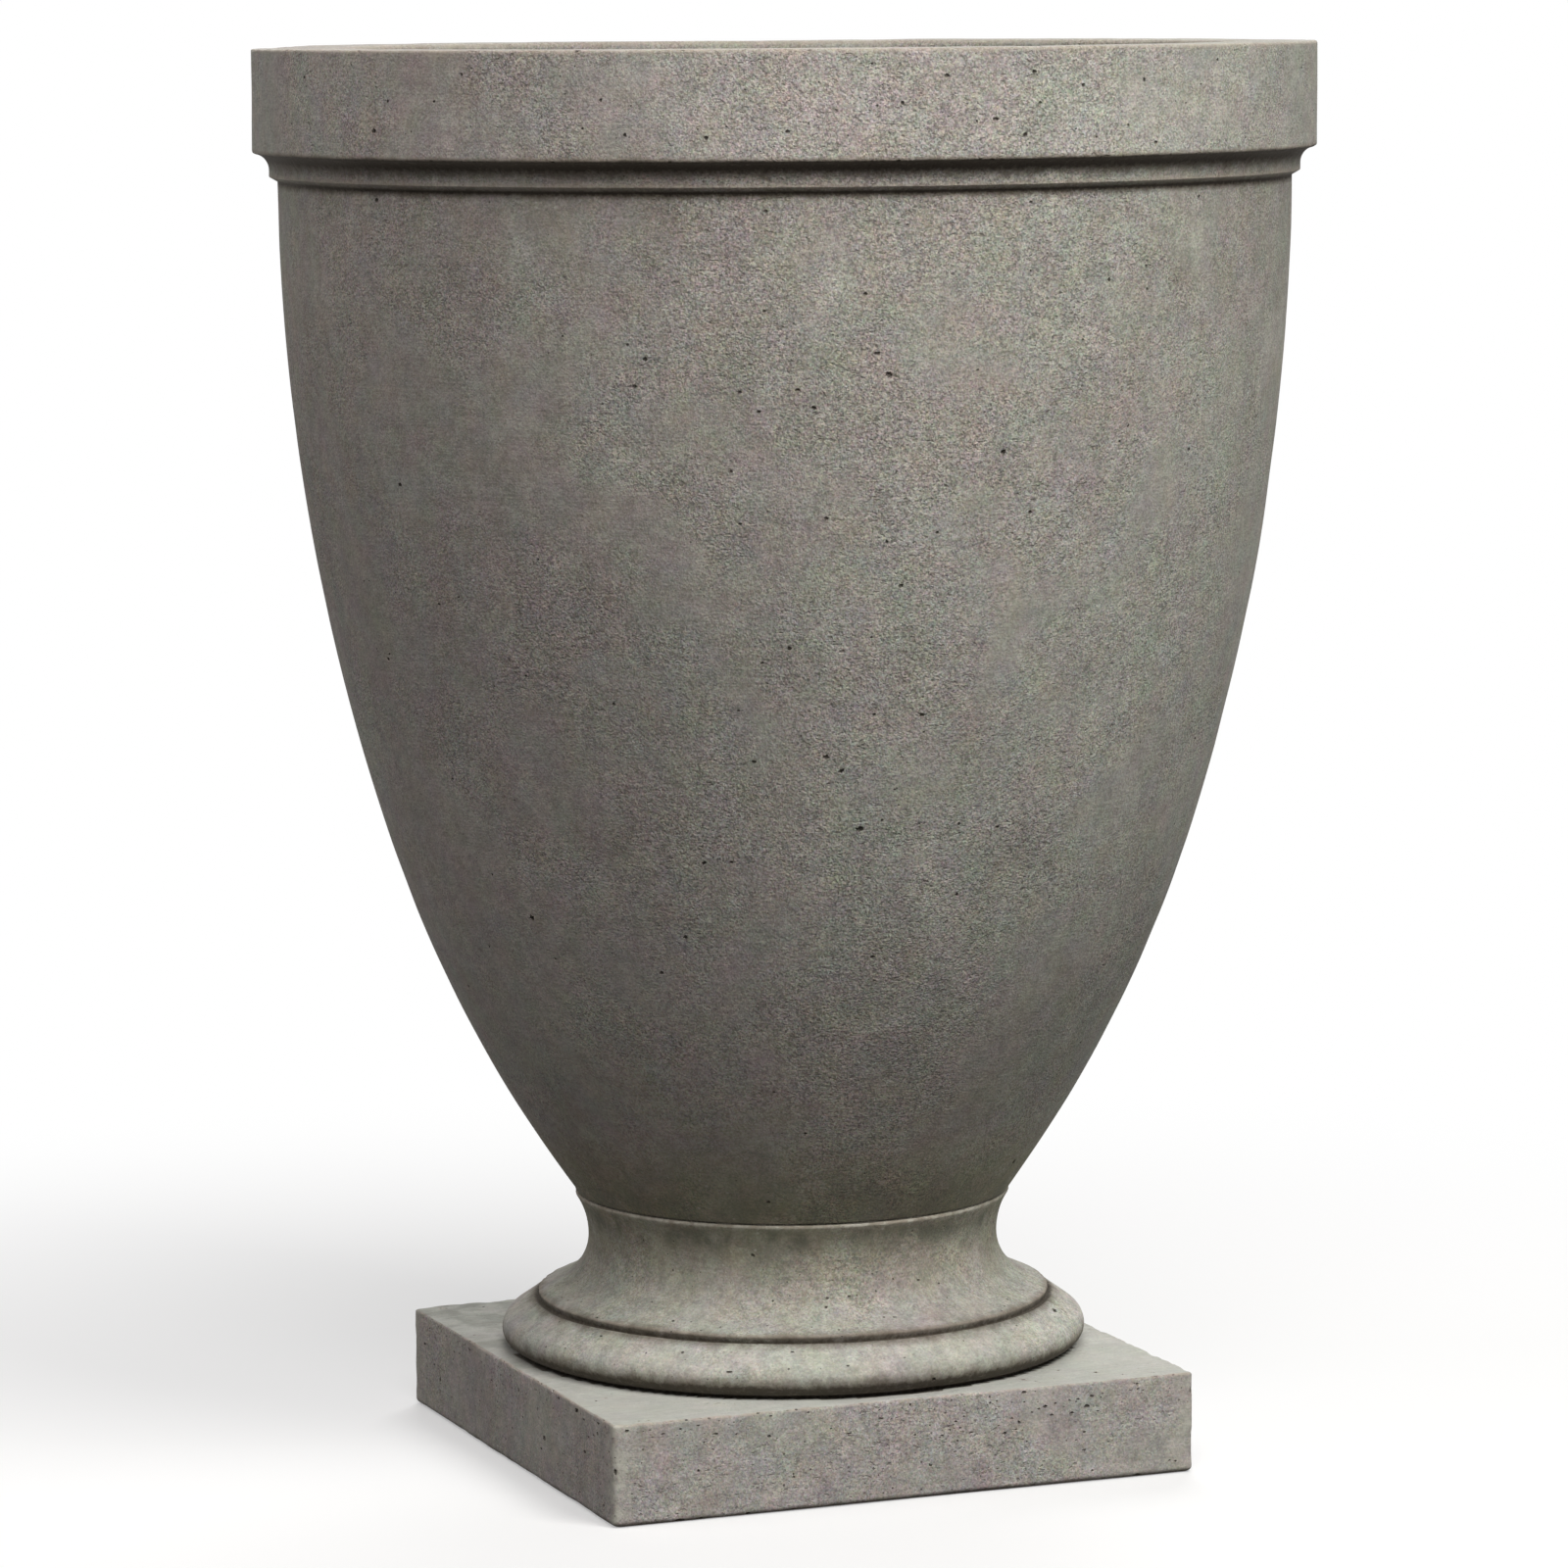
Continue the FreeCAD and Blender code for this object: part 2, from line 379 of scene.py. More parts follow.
class Sculptor:
    """Chooses where stone is missing from a surface and cuts it away."""

    PIT_SINK = 0.06  # how far a pit's middle lies under the surface, in widths
    PIT_DEPTH = 0.92  # how deep its blob is, in widths
    SCRATCH_WIDTH = 0.7 * MM
    FINE_FROM = 2.3 * MM  # wider blobs are made of finer triangles
    ROUGHNESS = {Bite.PIT: 0.62, Bite.CHIP: 0.4, Bite.SCRATCH: 0.12}

    def __init__(self, mesh: bpy.types.Mesh, seed: int) -> None:
        """Reads the surface that will be cut.

        Args:
            mesh: The mesh.
            seed: What the random draws start from.
        """
        self.draw = np.random.default_rng(seed)
        self.mesh = mesh
        self.points = coordinates(mesh)
        self.corners = triangles(mesh)
        a, b, c = self.points[self.corners].swapaxes(0, 1)
        across = np.cross(b - a, c - a)
        size = np.maximum(np.linalg.norm(across, axis=1), 1e-12)
        self.areas = size / 2
        self.middles = (a + b + c) / 3
        self.normals = across / size[:, None]
        self.tree = BVHTree.FromPolygons(self.points.tolist(), self.corners.tolist())
        self.spots: list[Spot] = []

    def keep(self, spot: Spot) -> bool:
        """Adds a spot if it keeps clear of all that were chosen before it.

        Args:
            spot: The spot.

        Returns:
            Whether it was added.
        """
        clear = all((spot.centre - other.centre).length > spot.reach + other.reach for other in self.spots)
        if clear:
            self.spots.append(spot)
        return clear

    def struck(self, angle: float, height: float) -> tuple[Vector, Vector]:
        """The place on the outer side at an angle in degrees and a height, and the normal there."""
        away = spoke(math.radians(angle))
        return self.tree.ray_cast(away * 0.5 + Vector((0, 0, height)), -away)[:2]

    def pit(self, place: Vector, outwards: Vector, width: float, stretch: float = 1.0) -> bool:
        """Adds one open air pit.

        Args:
            place: Where it opens.
            outwards: The surface's normal there.
            width: How wide it is.
            stretch: How many times longer than wide it is, sideways.

        Returns:
            Whether there was room for it.
        """
        side = Vector((0, 0, 1)).cross(outwards)
        side = side.normalized() if side.length > 0.1 else Vector((1, 0, 0))
        centre = place - outwards * width * self.PIT_SINK
        return self.keep(Spot(Bite.PIT, centre, outwards, side, width * stretch, width, width * self.PIT_DEPTH))

    def scatter_pits(
        self, count: int, weight: Callable[[np.ndarray, np.ndarray], np.ndarray],
        smallest: float, typical: float, largest: float, stretch: float = 1.5,
    ) -> None:
        """Adds pits at random places.

        Args:
            count: How many.
            weight: Gives each place's share from its positions and normals.
            smallest: The least width.
            typical: How much wider than the least a pit is on average.
            largest: The greatest width.
            stretch: The greatest ratio of length to width.
        """
        share = self.areas * weight(self.middles, self.normals)
        share /= share.sum()
        placed = 0
        for face in self.draw.choice(len(share), size=count * 2, p=share):
            if placed == count:
                break
            a, b = sorted(self.draw.random(2))
            corner = self.points[self.corners[face]]
            place = corner[0] * a + corner[1] * (b - a) + corner[2] * (1 - b)
            width = min(smallest + self.draw.exponential(typical), largest)
            shape = 1 + self.draw.random() ** 2 * (stretch - 1)
            placed += self.pit(Vector(place), Vector(self.normals[face]), width, shape)

    def chip_ring(self, ring: Place, lean: float, count: int, length: float, depth: float) -> None:
        """Nibbles an edge that runs round the axis.

        Args:
            ring: The edge's radius and height.
            lean: Which way the edge points, in degrees from straight outwards towards up.
            count: How many chips.
            length: A typical chip's length.
            depth: A typical chip's depth.
        """
        tilt = math.radians(lean)
        for turn in self.draw.random(count) * math.tau:
            out = Vector((math.cos(turn) * math.cos(tilt), math.sin(turn) * math.cos(tilt), math.sin(tilt)))
            place = Vector((math.cos(turn) * ring[0], math.sin(turn) * ring[0], ring[1]))
            self.chip(place, out, Vector((-math.sin(turn), math.cos(turn), 0)), length, depth)

    def chip_line(self, start: Vector, end: Vector, out: Vector, count: int, length: float, depth: float) -> None:
        """Nibbles a straight edge.

        Args:
            start: One end of the edge.
            end: Its other end.
            out: Which way the edge points.
            count: How many chips.
            length: A typical chip's length.
            depth: A typical chip's depth.
        """
        along = (end - start).normalized()
        for share in self.draw.random(count):
            self.chip(start.lerp(end, float(share)), out, along, length, depth)

    def chip(self, place: Vector, out: Vector, along: Vector, length: float, depth: float) -> None:
        """Adds one chip at an edge.

        Args:
            place: Where the edge is.
            out: Which way the edge points.
            along: Which way the edge runs.
            length: A typical chip's length.
            depth: A typical chip's depth.
        """
        long = min(length * (0.45 + self.draw.exponential(0.6)), length * 3)
        wide = long * (0.45 + 0.3 * self.draw.random())
        deep = depth * (0.6 + 0.8 * self.draw.random())
        centre = place + out * (wide * 0.5 - deep)
        self.keep(Spot(Bite.CHIP, centre, out, along, long, wide, wide))

    def scratch(self, place: Vector, outwards: Vector, along: Vector, length: float) -> None:
        """Adds one shallow scratch."""
        width = self.SCRATCH_WIDTH
        self.keep(Spot(Bite.SCRATCH, place + outwards * 0.1 * MM, outwards, along, length, width, width))

    def cutter(self) -> bpy.types.Mesh:
        """One mesh that holds every missing bit as a closed, uneven blob.

        Returns:
            The mesh.
        """
        shapes = [unit_ball(level) for level in (2, 3)]
        points, faces = [], []
        start = 0
        for spot in self.spots:
            ball, ball_faces = shapes[int(spot.width > self.FINE_FROM)]
            rough = self.ROUGHNESS[spot.kind]
            shift = Vector(self.draw.random(3) * 50)
            swell = np.array([1 + rough * noise.noise(Vector(row) * 1.7 + shift) for row in ball])
            third = spot.outwards.cross(spot.along).normalized()
            axes = np.array([spot.along, third, spot.outwards])
            size = np.array([spot.length, spot.width, spot.depth]) / 2
            points.append((ball * swell[:, None] * size) @ axes + np.array(spot.centre))
            faces.extend((ball_faces + start).tolist())
            start += len(ball)
        return new_mesh("cutter", np.vstack(points), faces)

    def carved(self) -> bpy.types.Mesh:
        """Cuts all spots out of the surface.

        Returns:
            The cut mesh, with "pit_depth" in millimetres at each vertex.
        """
        result = combined(self.mesh, [(Cut.TAKE_AWAY, self.cutter())])
        depth = [self.tree.find_nearest(Vector(row))[3] for row in coordinates(result)]
        keep_numbers(result, pit_depth=np.array(depth) / MM)
        return result


def unit_ball(level: int) -> tuple[np.ndarray, np.ndarray]:
    """A ball of radius 1 made of near-equal triangles.

    Args:
        level: How fine it is.

    Returns:
        Its vertices and its faces.
    """
    golden = (1 + math.sqrt(5)) / 2
    ends = [(-1, golden), (1, golden), (-1, -golden), (1, -golden)]
    points = [(a, b, 0) for a, b in ends] + [(0, a, b) for a, b in ends] + [(b, 0, a) for a, b in ends]
    rows = [np.array(point) / math.hypot(1, golden) for point in points]
    faces = [
        (0, 11, 5), (0, 5, 1), (0, 1, 7), (0, 7, 10), (0, 10, 11), (1, 5, 9), (5, 11, 4), (11, 10, 2),
        (10, 7, 6), (7, 1, 8), (3, 9, 4), (3, 4, 2), (3, 2, 6), (3, 6, 8), (3, 8, 9), (4, 9, 5),
        (2, 4, 11), (6, 2, 10), (8, 6, 7), (9, 8, 1),
    ]
    for _ in range(level - 1):
        middles: dict[tuple[int, int], int] = {}
        finer = []
        for face in faces:
            inner = []
            for first, second in ((0, 1), (1, 2), (2, 0)):
                key = tuple(sorted((face[first], face[second])))
                if key not in middles:
                    middle = rows[key[0]] + rows[key[1]]
                    rows.append(middle / np.linalg.norm(middle))
                    middles[key] = len(rows) - 1
                inner.append(middles[key])
            finer += [
                (face[0], inner[0], inner[2]), (face[1], inner[1], inner[0]),
                (face[2], inner[2], inner[1]), tuple(inner),
            ]
        faces = finer
    return np.array(rows), np.array(faces)


# ----------------------------------------------------------------------------------------- node finishes


class Value:
    """A node's output, which sums and products can be made with."""

    def __init__(self, graph: "Graph", socket: bpy.types.NodeSocket) -> None:
        """Keeps the output and the graph that it is in."""
        self.graph = graph
        self.socket = socket

    def __add__(self, other: "Number") -> "Value":
        """The sum."""
        return self.graph.math("ADD", self, other)

    def __sub__(self, other: "Number") -> "Value":
        """The difference."""
        return self.graph.math("SUBTRACT", self, other)

    def __rsub__(self, other: "Number") -> "Value":
        """The difference from a number."""
        return self.graph.math("SUBTRACT", other, self)

    def __mul__(self, other: "Number") -> "Value":
        """The product."""
        return self.graph.math("MULTIPLY", self, other)


Number = Value | float
Tint = Value | Colour


class Graph:
    """Builds the nodes of one material or world in plain steps."""

    def __init__(self, holder: bpy.types.Material | bpy.types.World) -> None:
        """Empties the holder's node tree.

        Args:
            holder: The material or world.
        """
        holder.use_nodes = True
        self.holder = holder
        self.tree = holder.node_tree
        self.tree.nodes.clear()
        self.place = Value(self, self.node("ShaderNodeTexCoord").outputs["Object"])

    def node(self, kind: str, **options: object) -> bpy.types.Node:
        """Adds a node and sets its options.

        Args:
            kind: The node's kind.
            options: Its options, by name.

        Returns:
            The node.
        """
        made = self.tree.nodes.new(kind)
        for key, value in options.items():
            setattr(made, key, value)
        return made

    def feed(self, socket: bpy.types.NodeSocket, value: Number | Tint) -> None:
        """Links a value to a socket, or sets it there.

        Args:
            socket: The socket.
            value: The value.
        """
        if isinstance(value, Value):
            self.tree.links.new(value.socket, socket)
        elif isinstance(value, tuple) and socket.type == "RGBA":
            socket.default_value = (*value, 1.0)
        else:
            socket.default_value = value

    def out(self, made: bpy.types.Node, inputs: dict[int | str, Number | Tint], output: int | str = 0) -> Value:
        """Feeds a node's inputs.

        Args:
            made: The node.
            inputs: What goes into each input, by its number or name.
            output: Which output is wanted.

        Returns:
            That output.
        """
        for key, value in inputs.items():
            self.feed(made.inputs[key], value)
        return Value(self, made.outputs[output])

    def math(self, operation: str, first: Number, second: Number) -> Value:
        """One sum, product or other operation on two values."""
        return self.out(self.node("ShaderNodeMath", operation=operation), {0: first, 1: second})

    def span(self, value: Number, low: float, high: Number, start: float = 0.0, end: float = 1.0) -> Value:
        """Goes smoothly from start to end while the value goes from low to high."""
        made = self.node("ShaderNodeMapRange", interpolation_type="SMOOTHSTEP")
        return self.out(made, dict(enumerate((value, low, high, start, end))))

    def blend(self, factor: Number, first: Tint, second: Tint, way: str = "MIX") -> Value:
        """Mixes two colours."""
        made = self.node("ShaderNodeMix", data_type="RGBA", blend_type=way, clamp_factor=True)
        return self.out(made, {0: factor, 6: first, 7: second}, 2)

    def shaded(self, colour: Tint, value: Value, factor: float = 1.0) -> Value:
        """A colour multiplied by a grey of a given value."""
        grey = self.out(self.node("ShaderNodeCombineColor"), {0: value, 1: value, 2: value})
        return self.blend(factor, colour, grey, "MULTIPLY")

    def textured(
        self, kind: str, size: float, shift: float = 0.0, squash: Colour = (1, 1, 1), turn: float = 0.0,
        **inputs: float,
    ) -> bpy.types.Node:
        """Adds a texture that is fixed to the object.

        Args:
            kind: The texture node's kind.
            size: How wide its features are, in metres.
            shift: Moves the pattern.
            squash: How much narrower its features are along each axis.
            turn: How far the pattern is turned round the axis, in degrees.
            inputs: The node's other inputs.

        Returns:
            The node.
        """
        spot = self.node("ShaderNodeMapping", vector_type="POINT")
        spot.inputs["Rotation"].default_value = (0, 0, math.radians(turn))
        spot.inputs["Scale"].default_value = squash
        spot.inputs["Location"].default_value = (shift, shift * 0.37, shift * 0.71)
        made = self.node(kind)
        self.out(made, {"Vector": self.out(spot, {"Vector": self.place}), "Scale": 1 / size, **inputs})
        return made

    def mottle(
        self, size: float, detail: float = 3.0, roughness: float = 0.5, warp: float = 0.0, shift: float = 0.0,
        squash: Colour = (1, 1, 1), turn: float = 0.0,
    ) -> Value:
        """Noise about 0.5.

        Args:
            size: How wide its features are, in metres.
            detail: How many finer layers it has.
            roughness: How strong those are.
            warp: How much it is distorted.
            shift: Moves the pattern.
            squash: How much narrower its features are along each axis.
            turn: How far the pattern is turned round the axis, in degrees.

        Returns:
            The noise.
        """
        made = self.textured(
            "ShaderNodeTexNoise", size, shift, squash, turn, Detail=detail, Roughness=roughness, Distortion=warp,
        )
        return Value(self, made.outputs[0])

    def cells(self, size: float, shift: float = 0.0) -> tuple[Value, Value]:
        """Scattered cells.

        Args:
            size: How far apart they are, in metres.
            shift: Moves the pattern.

        Returns:
            The distance from each cell's middle, in cells, and a number from 0 to 1 for each cell.
        """
        made = self.textured("ShaderNodeTexVoronoi", size, shift)
        kind = self.out(self.node("ShaderNodeSeparateColor"), {0: Value(self, made.outputs["Color"])})
        return Value(self, made.outputs["Distance"]), kind

    def tints(self, size: float, swing: float, shift: float = 0.0) -> Value:
        """Faint green, pink and blue casts.

        Args:
            size: How wide one patch is, in metres.
            swing: How strong they are.
            shift: Moves the pattern.

        Returns:
            A colour about white to multiply with.
        """
        made = self.textured("ShaderNodeTexNoise", size, shift, Detail=1.5)
        spread = self.node("ShaderNodeVectorMath", operation="MULTIPLY_ADD")
        return self.out(spread, {0: Value(self, made.outputs["Color"]), 1: (swing,) * 3, 2: (1 - swing / 2,) * 3})

    def number(self, name: str) -> Value:
        """A number kept on the mesh."""
        return Value(self, self.node("ShaderNodeAttribute", attribute_name=name).outputs["Fac"])

    def seen(self) -> Value:
        """One where the camera sees it, straight on or by gloss or glass, and nought where light is gathered.

        Returns:
            The value.
        """
        path = self.node("ShaderNodeLightPath")
        camera, gloss, glass = (
            Value(self, path.outputs[name]) for name in ("Is Camera Ray", "Is Glossy Ray", "Is Transmission Ray")
        )
        return self.math("MAXIMUM", self.math("MAXIMUM", camera, gloss), glass)

    def finish(
        self, colour: Tint, roughness: Number, height: Number, depth: float, **uniform: float,
    ) -> bpy.types.Material:
        """Wires the surface.

        Args:
            colour: Its colour.
            roughness: Its roughness.
            height: Its relief, in units of depth.
            depth: What one unit of relief measures, in metres.
            uniform: Values that are the same all over, by socket name with _ for a space.

        Returns:
            The material.
        """
        bump = self.out(self.node("ShaderNodeBump"), {"Strength": 1.0, "Distance": depth, "Height": height})
        surface = self.node("ShaderNodeBsdfPrincipled")
        same = {key.replace("_", " "): value for key, value in uniform.items()}
        shader = self.out(surface, {"Base Color": colour, "Roughness": roughness, "Normal": bump, **same})
        self.feed(self.node("ShaderNodeOutputMaterial").inputs["Surface"], shader)
        return self.holder


@dataclass(frozen=True)
class CastStone:
    """Weathered cast stone: a sandy skin in olive and purple greys, with worn edges, dirt and painted shade in its
    hollows and pits, painted light and shade by height, and a painted highlight on the foot's lip.
    """

    name: str
    olive: Colour = (0.332, 0.322, 0.284)
    purple: Colour = (0.343, 0.313, 0.285)
    pale: Colour = (0.50, 0.48, 0.43)
    browning: Colour = (1.0, 0.965, 0.80)
    stain: Colour = (0.165, 0.150, 0.122)
    worn: Colour = (0.40, 0.335, 0.265)
    grime_and_shade: Colour = (0.034, 0.026, 0.018)
    soil: Colour = (0.13, 0.105, 0.078)
    muck_and_shade: Colour = (0.105, 0.086, 0.062)
    soot: Colour = (0.118, 0.122, 0.092)
    skin: Colour = (0.545, 0.553, 0.512)
    line_dirt_and_shade: float = 0.93
    grain_contrast: float = 1.0
    grain_relief: float = 1.0
    blotch_contrast: float = 0.10
    pinholes: float = 1.0
    edge_wear: float = 0.42
    shift: float = 0.0
    sand_grain: float = 0.95 * MM
    sand_clump: float = 2.0 * MM
    speck_spacing: float = 3.4 * MM
    dent_width: float = 4.2 * MM
    pinhole_spacing: float = 5.6 * MM
    relief_unit: float = 0.1 * MM

    def material(self) -> bpy.types.Material:
        """Builds the finish.

        Returns:
            The material. Its mesh keeps pit_depth, arris_gap and crevice_gap in millimetres, inner,
            top_skin, rubbed, sooty and dry from 0 to 1, clay from -1 to 1, and bleach, its lightness about 1.
            The rubbed number also paints a highlight on the foot's lip besides wear, sooty paints shade along
            with a dark stain, and bleach is painted light and shade by height.
        """
        g = Graph(bpy.data.materials.new(self.name))
        shift = self.shift
        top_skin, bleach = g.number("top_skin"), g.number("bleach")
        # broad clouds, and small patches that lean to green, pink or blue
        clouds = g.mottle(0.13, 4, 0.55, 0.5, shift)
        blotches = g.mottle(0.036, 4, 0.62, 0.3, shift + 3.1)
        patches = g.mottle(0.075, 4, 0.6, 0.6, shift + 5.7)
        drift = g.mottle(0.30, 2, 0.5, 0.0, shift + 8.3)
        colour = g.blend(g.span(clouds + g.number("clay") * 0.16, 0.36, 0.64), self.olive, self.purple)
        colour = g.blend(1.0, colour, g.tints(0.017, 0.20, shift + 31), "MULTIPLY")
        # painted light and shade by height: lighter on the band, the torus and the plinth, darker at the bowl's base
        # and up the scotia under it; where it is low the colour is browned as well
        colour = g.shaded(colour, g.span(drift + blotches * 0.5, 0.55, 0.95, 0.88, 1.10) * bleach)
        colour = g.blend(g.span(bleach, 0.68, 1.02, 1.0, 0.0), colour, self.browning, "MULTIPLY")
        colour = g.blend(g.span(g.mottle(0.06, 5, 0.62, 0.8, shift + 11), 0.54, 0.74, 0, 0.36), colour, self.pale)
        colour = g.blend(g.span(g.mottle(0.10, 5, 0.6, 0.9, shift + 14), 0.55, 0.78, 0, 0.34), colour, self.stain)
        blots = g.mottle(0.0075, 4, 0.62, 0.2, shift + 17)
        colour = g.shaded(colour, g.span(blots, 0.32, 0.68, 1 - self.blotch_contrast, 1 + self.blotch_contrast))
        # sandy grain: single grains of sand, then soft clumps of them
        dryness = patches + g.number("dry") * 0.16
        rough_skin = g.span(dryness, 0.36, 0.72, 0.45, 1.15) * (1.0 - top_skin * 0.30)
        grain_kind = g.cells(self.sand_grain, shift + 40)[1]
        clump = g.mottle(self.sand_clump, 2, 0.6, 0.0, shift)
        sand = clump * 0.5 + g.mottle(0.0011, 1, 0.5, 0.0, shift + 2) * 0.5
        swing = (grain_kind - 0.5) * (0.74 * self.grain_contrast) + (sand - 0.5) * (1.15 * self.grain_contrast)
        colour = g.shaded(colour, swing * rough_skin + 1.0)
        colour = g.blend(rough_skin, colour, g.tints(0.0016, 0.42, shift + 37), "MULTIPLY")
        speck_gap, speck_kind = g.cells(self.speck_spacing, shift)
        speck = g.span(speck_gap, 0.16, 0.34, 1, 0)
        dark_speck = speck * g.span(speck_kind, 0.86, 0.92, 0, 0.34)
        colour = g.blend(dark_speck, colour, self.stain)
        colour = g.blend(speck * g.span(speck_kind, 0.14, 0.08, 0, 0.40), colour, self.pale)
        # small dents that the air left where the mix was dry
        dents = g.mottle(self.dent_width, 2, 0.5, 0.0, shift + 27, (1, 1, 1.5))
        dent = g.span(dents, 0.60, 0.70) * g.span(dryness, 0.50, 0.66)
        colour = g.blend(dent * 0.34, colour, self.stain)
        # faint marks of turning and of run-off
        turning = g.mottle(0.03, 4, 0.6, 0.0, shift + 6, (1, 1, 22))
        colour = g.shaded(colour, g.span(turning, 0.3, 0.7, 0.88, 1.12), 0.35)
        streaks = g.mottle(0.007, 3, 0.6, 0.0, shift + 19, (1, 1, 0.10))
        colour = g.shaded(colour, g.span(streaks, 0.3, 0.7, 0.88, 1.12), 0.24)
        # float marks on the plinth's top
        floated = g.mottle(1 / 420, squash=(0.16, 1, 1), turn=-12)
        brushed = g.shaded(self.skin, g.span(floated, 0.3, 0.7, 0.93, 1.07))
        colour = g.blend(top_skin * 0.62, colour, brushed)
        # pinholes: small near-black discs, painted shade for holes that the mesh doesn't have, with a dip in the bump
        hole_gap, hole_kind = g.cells(self.pinhole_spacing, shift + 1)
        hole_size = g.span(hole_kind, 0.45, 1.0, 0.0, 0.095 * self.pinholes)
        hole = g.math("LESS_THAN", hole_gap, hole_size) * (1.0 - top_skin * 0.7)
        colour = g.blend(hole * 0.7, colour, self.grime_and_shade)
        # a dark olive stain with painted shade: under the foot's lip, at the bowl's base and towards the back of the
        # plinth's top
        drips_and_shade = g.span(g.mottle(0.026, 5, 0.66, 0.4, shift + 25, (1, 1, 0.6)), 0.40, 0.62, 0.10, 1.0)
        colour = g.blend(g.number("sooty") * drips_and_shade, colour, self.soot)
        # worn edges, with a painted highlight on the foot's lip; dirt and painted shade in the hollows and pits
        ragged = (g.mottle(0.006, 4, 0.7, 0.0, 4) - 0.5) * 5.0
        wear = g.span(g.number("arris_gap") + ragged, 0.4, 3.0, 1.0, 0.0)
        colour = g.blend(wear * self.edge_wear, colour, self.worn)
        # pale wear, and along the foot's lip a painted highlight as well
        rubbed = g.number("rubbed") * g.span(g.mottle(0.0065, 4, 0.7, 0.0, 12), 0.42, 0.62, 0.12, 1.0)
        colour = g.blend(rubbed, colour, self.pale)
        # dirt and painted shade in the hollows: a broad darkening, then a tight dark line in the deepest corners
        crevice = g.number("crevice_gap")
        patchy = (g.mottle(0.012, 5, 0.65, 0.0, 9) - 0.5) * 7.0
        colour = g.blend(g.span(crevice + patchy, 0.5, 5.5, 0.86, 0.0), colour, self.muck_and_shade)
        crumbly = (g.mottle(0.0030, 3, 0.7, 0.0, 15) - 0.5) * 4.6
        colour = g.blend(g.span(crevice + crumbly, 0.2, 2.3, self.line_dirt_and_shade, 0.0), colour, self.grime_and_shade)
        # painted shade in the pits, darker the deeper they are
        colour = g.blend(g.span(g.number("pit_depth"), 0.09, 0.42) * 0.70, colour, self.grime_and_shade)
        # inside: damp, soil-stained
        height = g.out(g.node("ShaderNodeSeparateXYZ"), {0: g.place}, 2)
        tide = height + g.mottle(0.05, 5, 0.6, 0.4, 17) * 0.09
        colour = g.blend(g.number("inner") * g.span(tide, 0.60, 0.76, 0.85, 0.12), colour, self.soil)
        relief = (sand - 0.5) * (rough_skin * (self.grain_relief * 8.0))
        relief += grain_kind * rough_skin * (self.grain_relief * 0.45)
        for raised, swell in ((blotches, 3.0), (blots, 2.2), (turning, 1.2)):
            relief += (raised - 0.5) * swell
        for sunk, drop in ((hole, 4.0), (dent, 3.2), (dark_speck, 1.2)):
            relief -= sunk * drop
        roughness = g.span(clouds, 0.3, 0.7, 0.82, 0.94) - wear * 0.08
        return g.finish(colour, roughness, relief, self.relief_unit, Specular_IOR_Level=0.28)


@dataclass(frozen=True)
class Mortar:
    """Dark, rough bedding mortar with sand in it."""

    name: str = "bedding_mortar"
    dark: Colour = (0.13, 0.118, 0.097)
    light: Colour = (0.33, 0.31, 0.27)

    def material(self) -> bpy.types.Material:
        """Builds the finish.

        Returns:
            The material.
        """
        g = Graph(bpy.data.materials.new(self.name))
        sand = g.mottle(0.0016, 4, 0.7)
        damp = g.mottle(0.03, 4, 0.6, 0.5)
        colour = g.blend(g.span(sand, 0.35, 0.68) * g.span(damp, 0.3, 0.7, 0.4, 1), self.dark, self.light)
        return g.finish(colour, g.span(damp, 0.3, 0.7, 0.8, 0.96), sand * 5.0, 0.1 * MM, Specular_IOR_Level=0.2)


@dataclass(frozen=True)
class BarSteel:
    """Sawn mild steel bar with a thin brown bloom of rust."""

    name: str = "bar_steel"
    steel: Colour = (0.50, 0.50, 0.50)
    drawn_steel: Colour = (0.38, 0.38, 0.39)
    rust: Colour = (0.22, 0.10, 0.045)

    def material(self) -> bpy.types.Material:
        """Builds the finish.

        Returns:
            The material.
        """
        g = Graph(bpy.data.materials.new(self.name))
        drawn = g.mottle(1 / 1500, 2, squash=(1, 1, 0.04))
        bloom = g.span(g.mottle(0.006, 5, 0.7, 0.6), 0.52, 0.70, 0.0, 0.7)
        colour = g.blend(bloom, g.blend(g.span(drawn, 0.3, 0.7), self.steel, self.drawn_steel), self.rust)
        roughness = g.span(drawn, 0.3, 0.7, 0.28, 0.42) + bloom * 0.4
        return g.finish(colour, roughness, drawn, 0.05 * MM, Metallic=0.9)


@dataclass(frozen=True)
class PipePlastic:
    """Dark grey pipe plastic, scuffed and smeared with a little cement."""

    name: str = "pipe_plastic"
    fresh: Colour = (0.060, 0.061, 0.065)
    scuffed: Colour = (0.15, 0.15, 0.155)
    smear: Colour = (0.36, 0.345, 0.31)

    def material(self) -> bpy.types.Material:
        """Builds the finish.

        Returns:
            The material.
        """
        g = Graph(bpy.data.materials.new(self.name))
        scuffs = g.mottle(0.008, 5, 0.7, 0.5, squash=(1, 1, 0.3))
        smears = g.span(g.mottle(0.018, 5, 0.65, 0.8, 4), 0.56, 0.66, 0.0, 0.8)
        colour = g.blend(smears, g.blend(g.span(scuffs, 0.4, 0.7), self.fresh, self.scuffed), self.smear)
        roughness = g.span(scuffs, 0.3, 0.7, 0.42, 0.6) + smears * 0.3
        return g.finish(colour, roughness, scuffs * 0.4 + smears, 0.15 * MM, Specular_IOR_Level=0.45)


# ------------------------------------------------------------------------------------------- the pieces


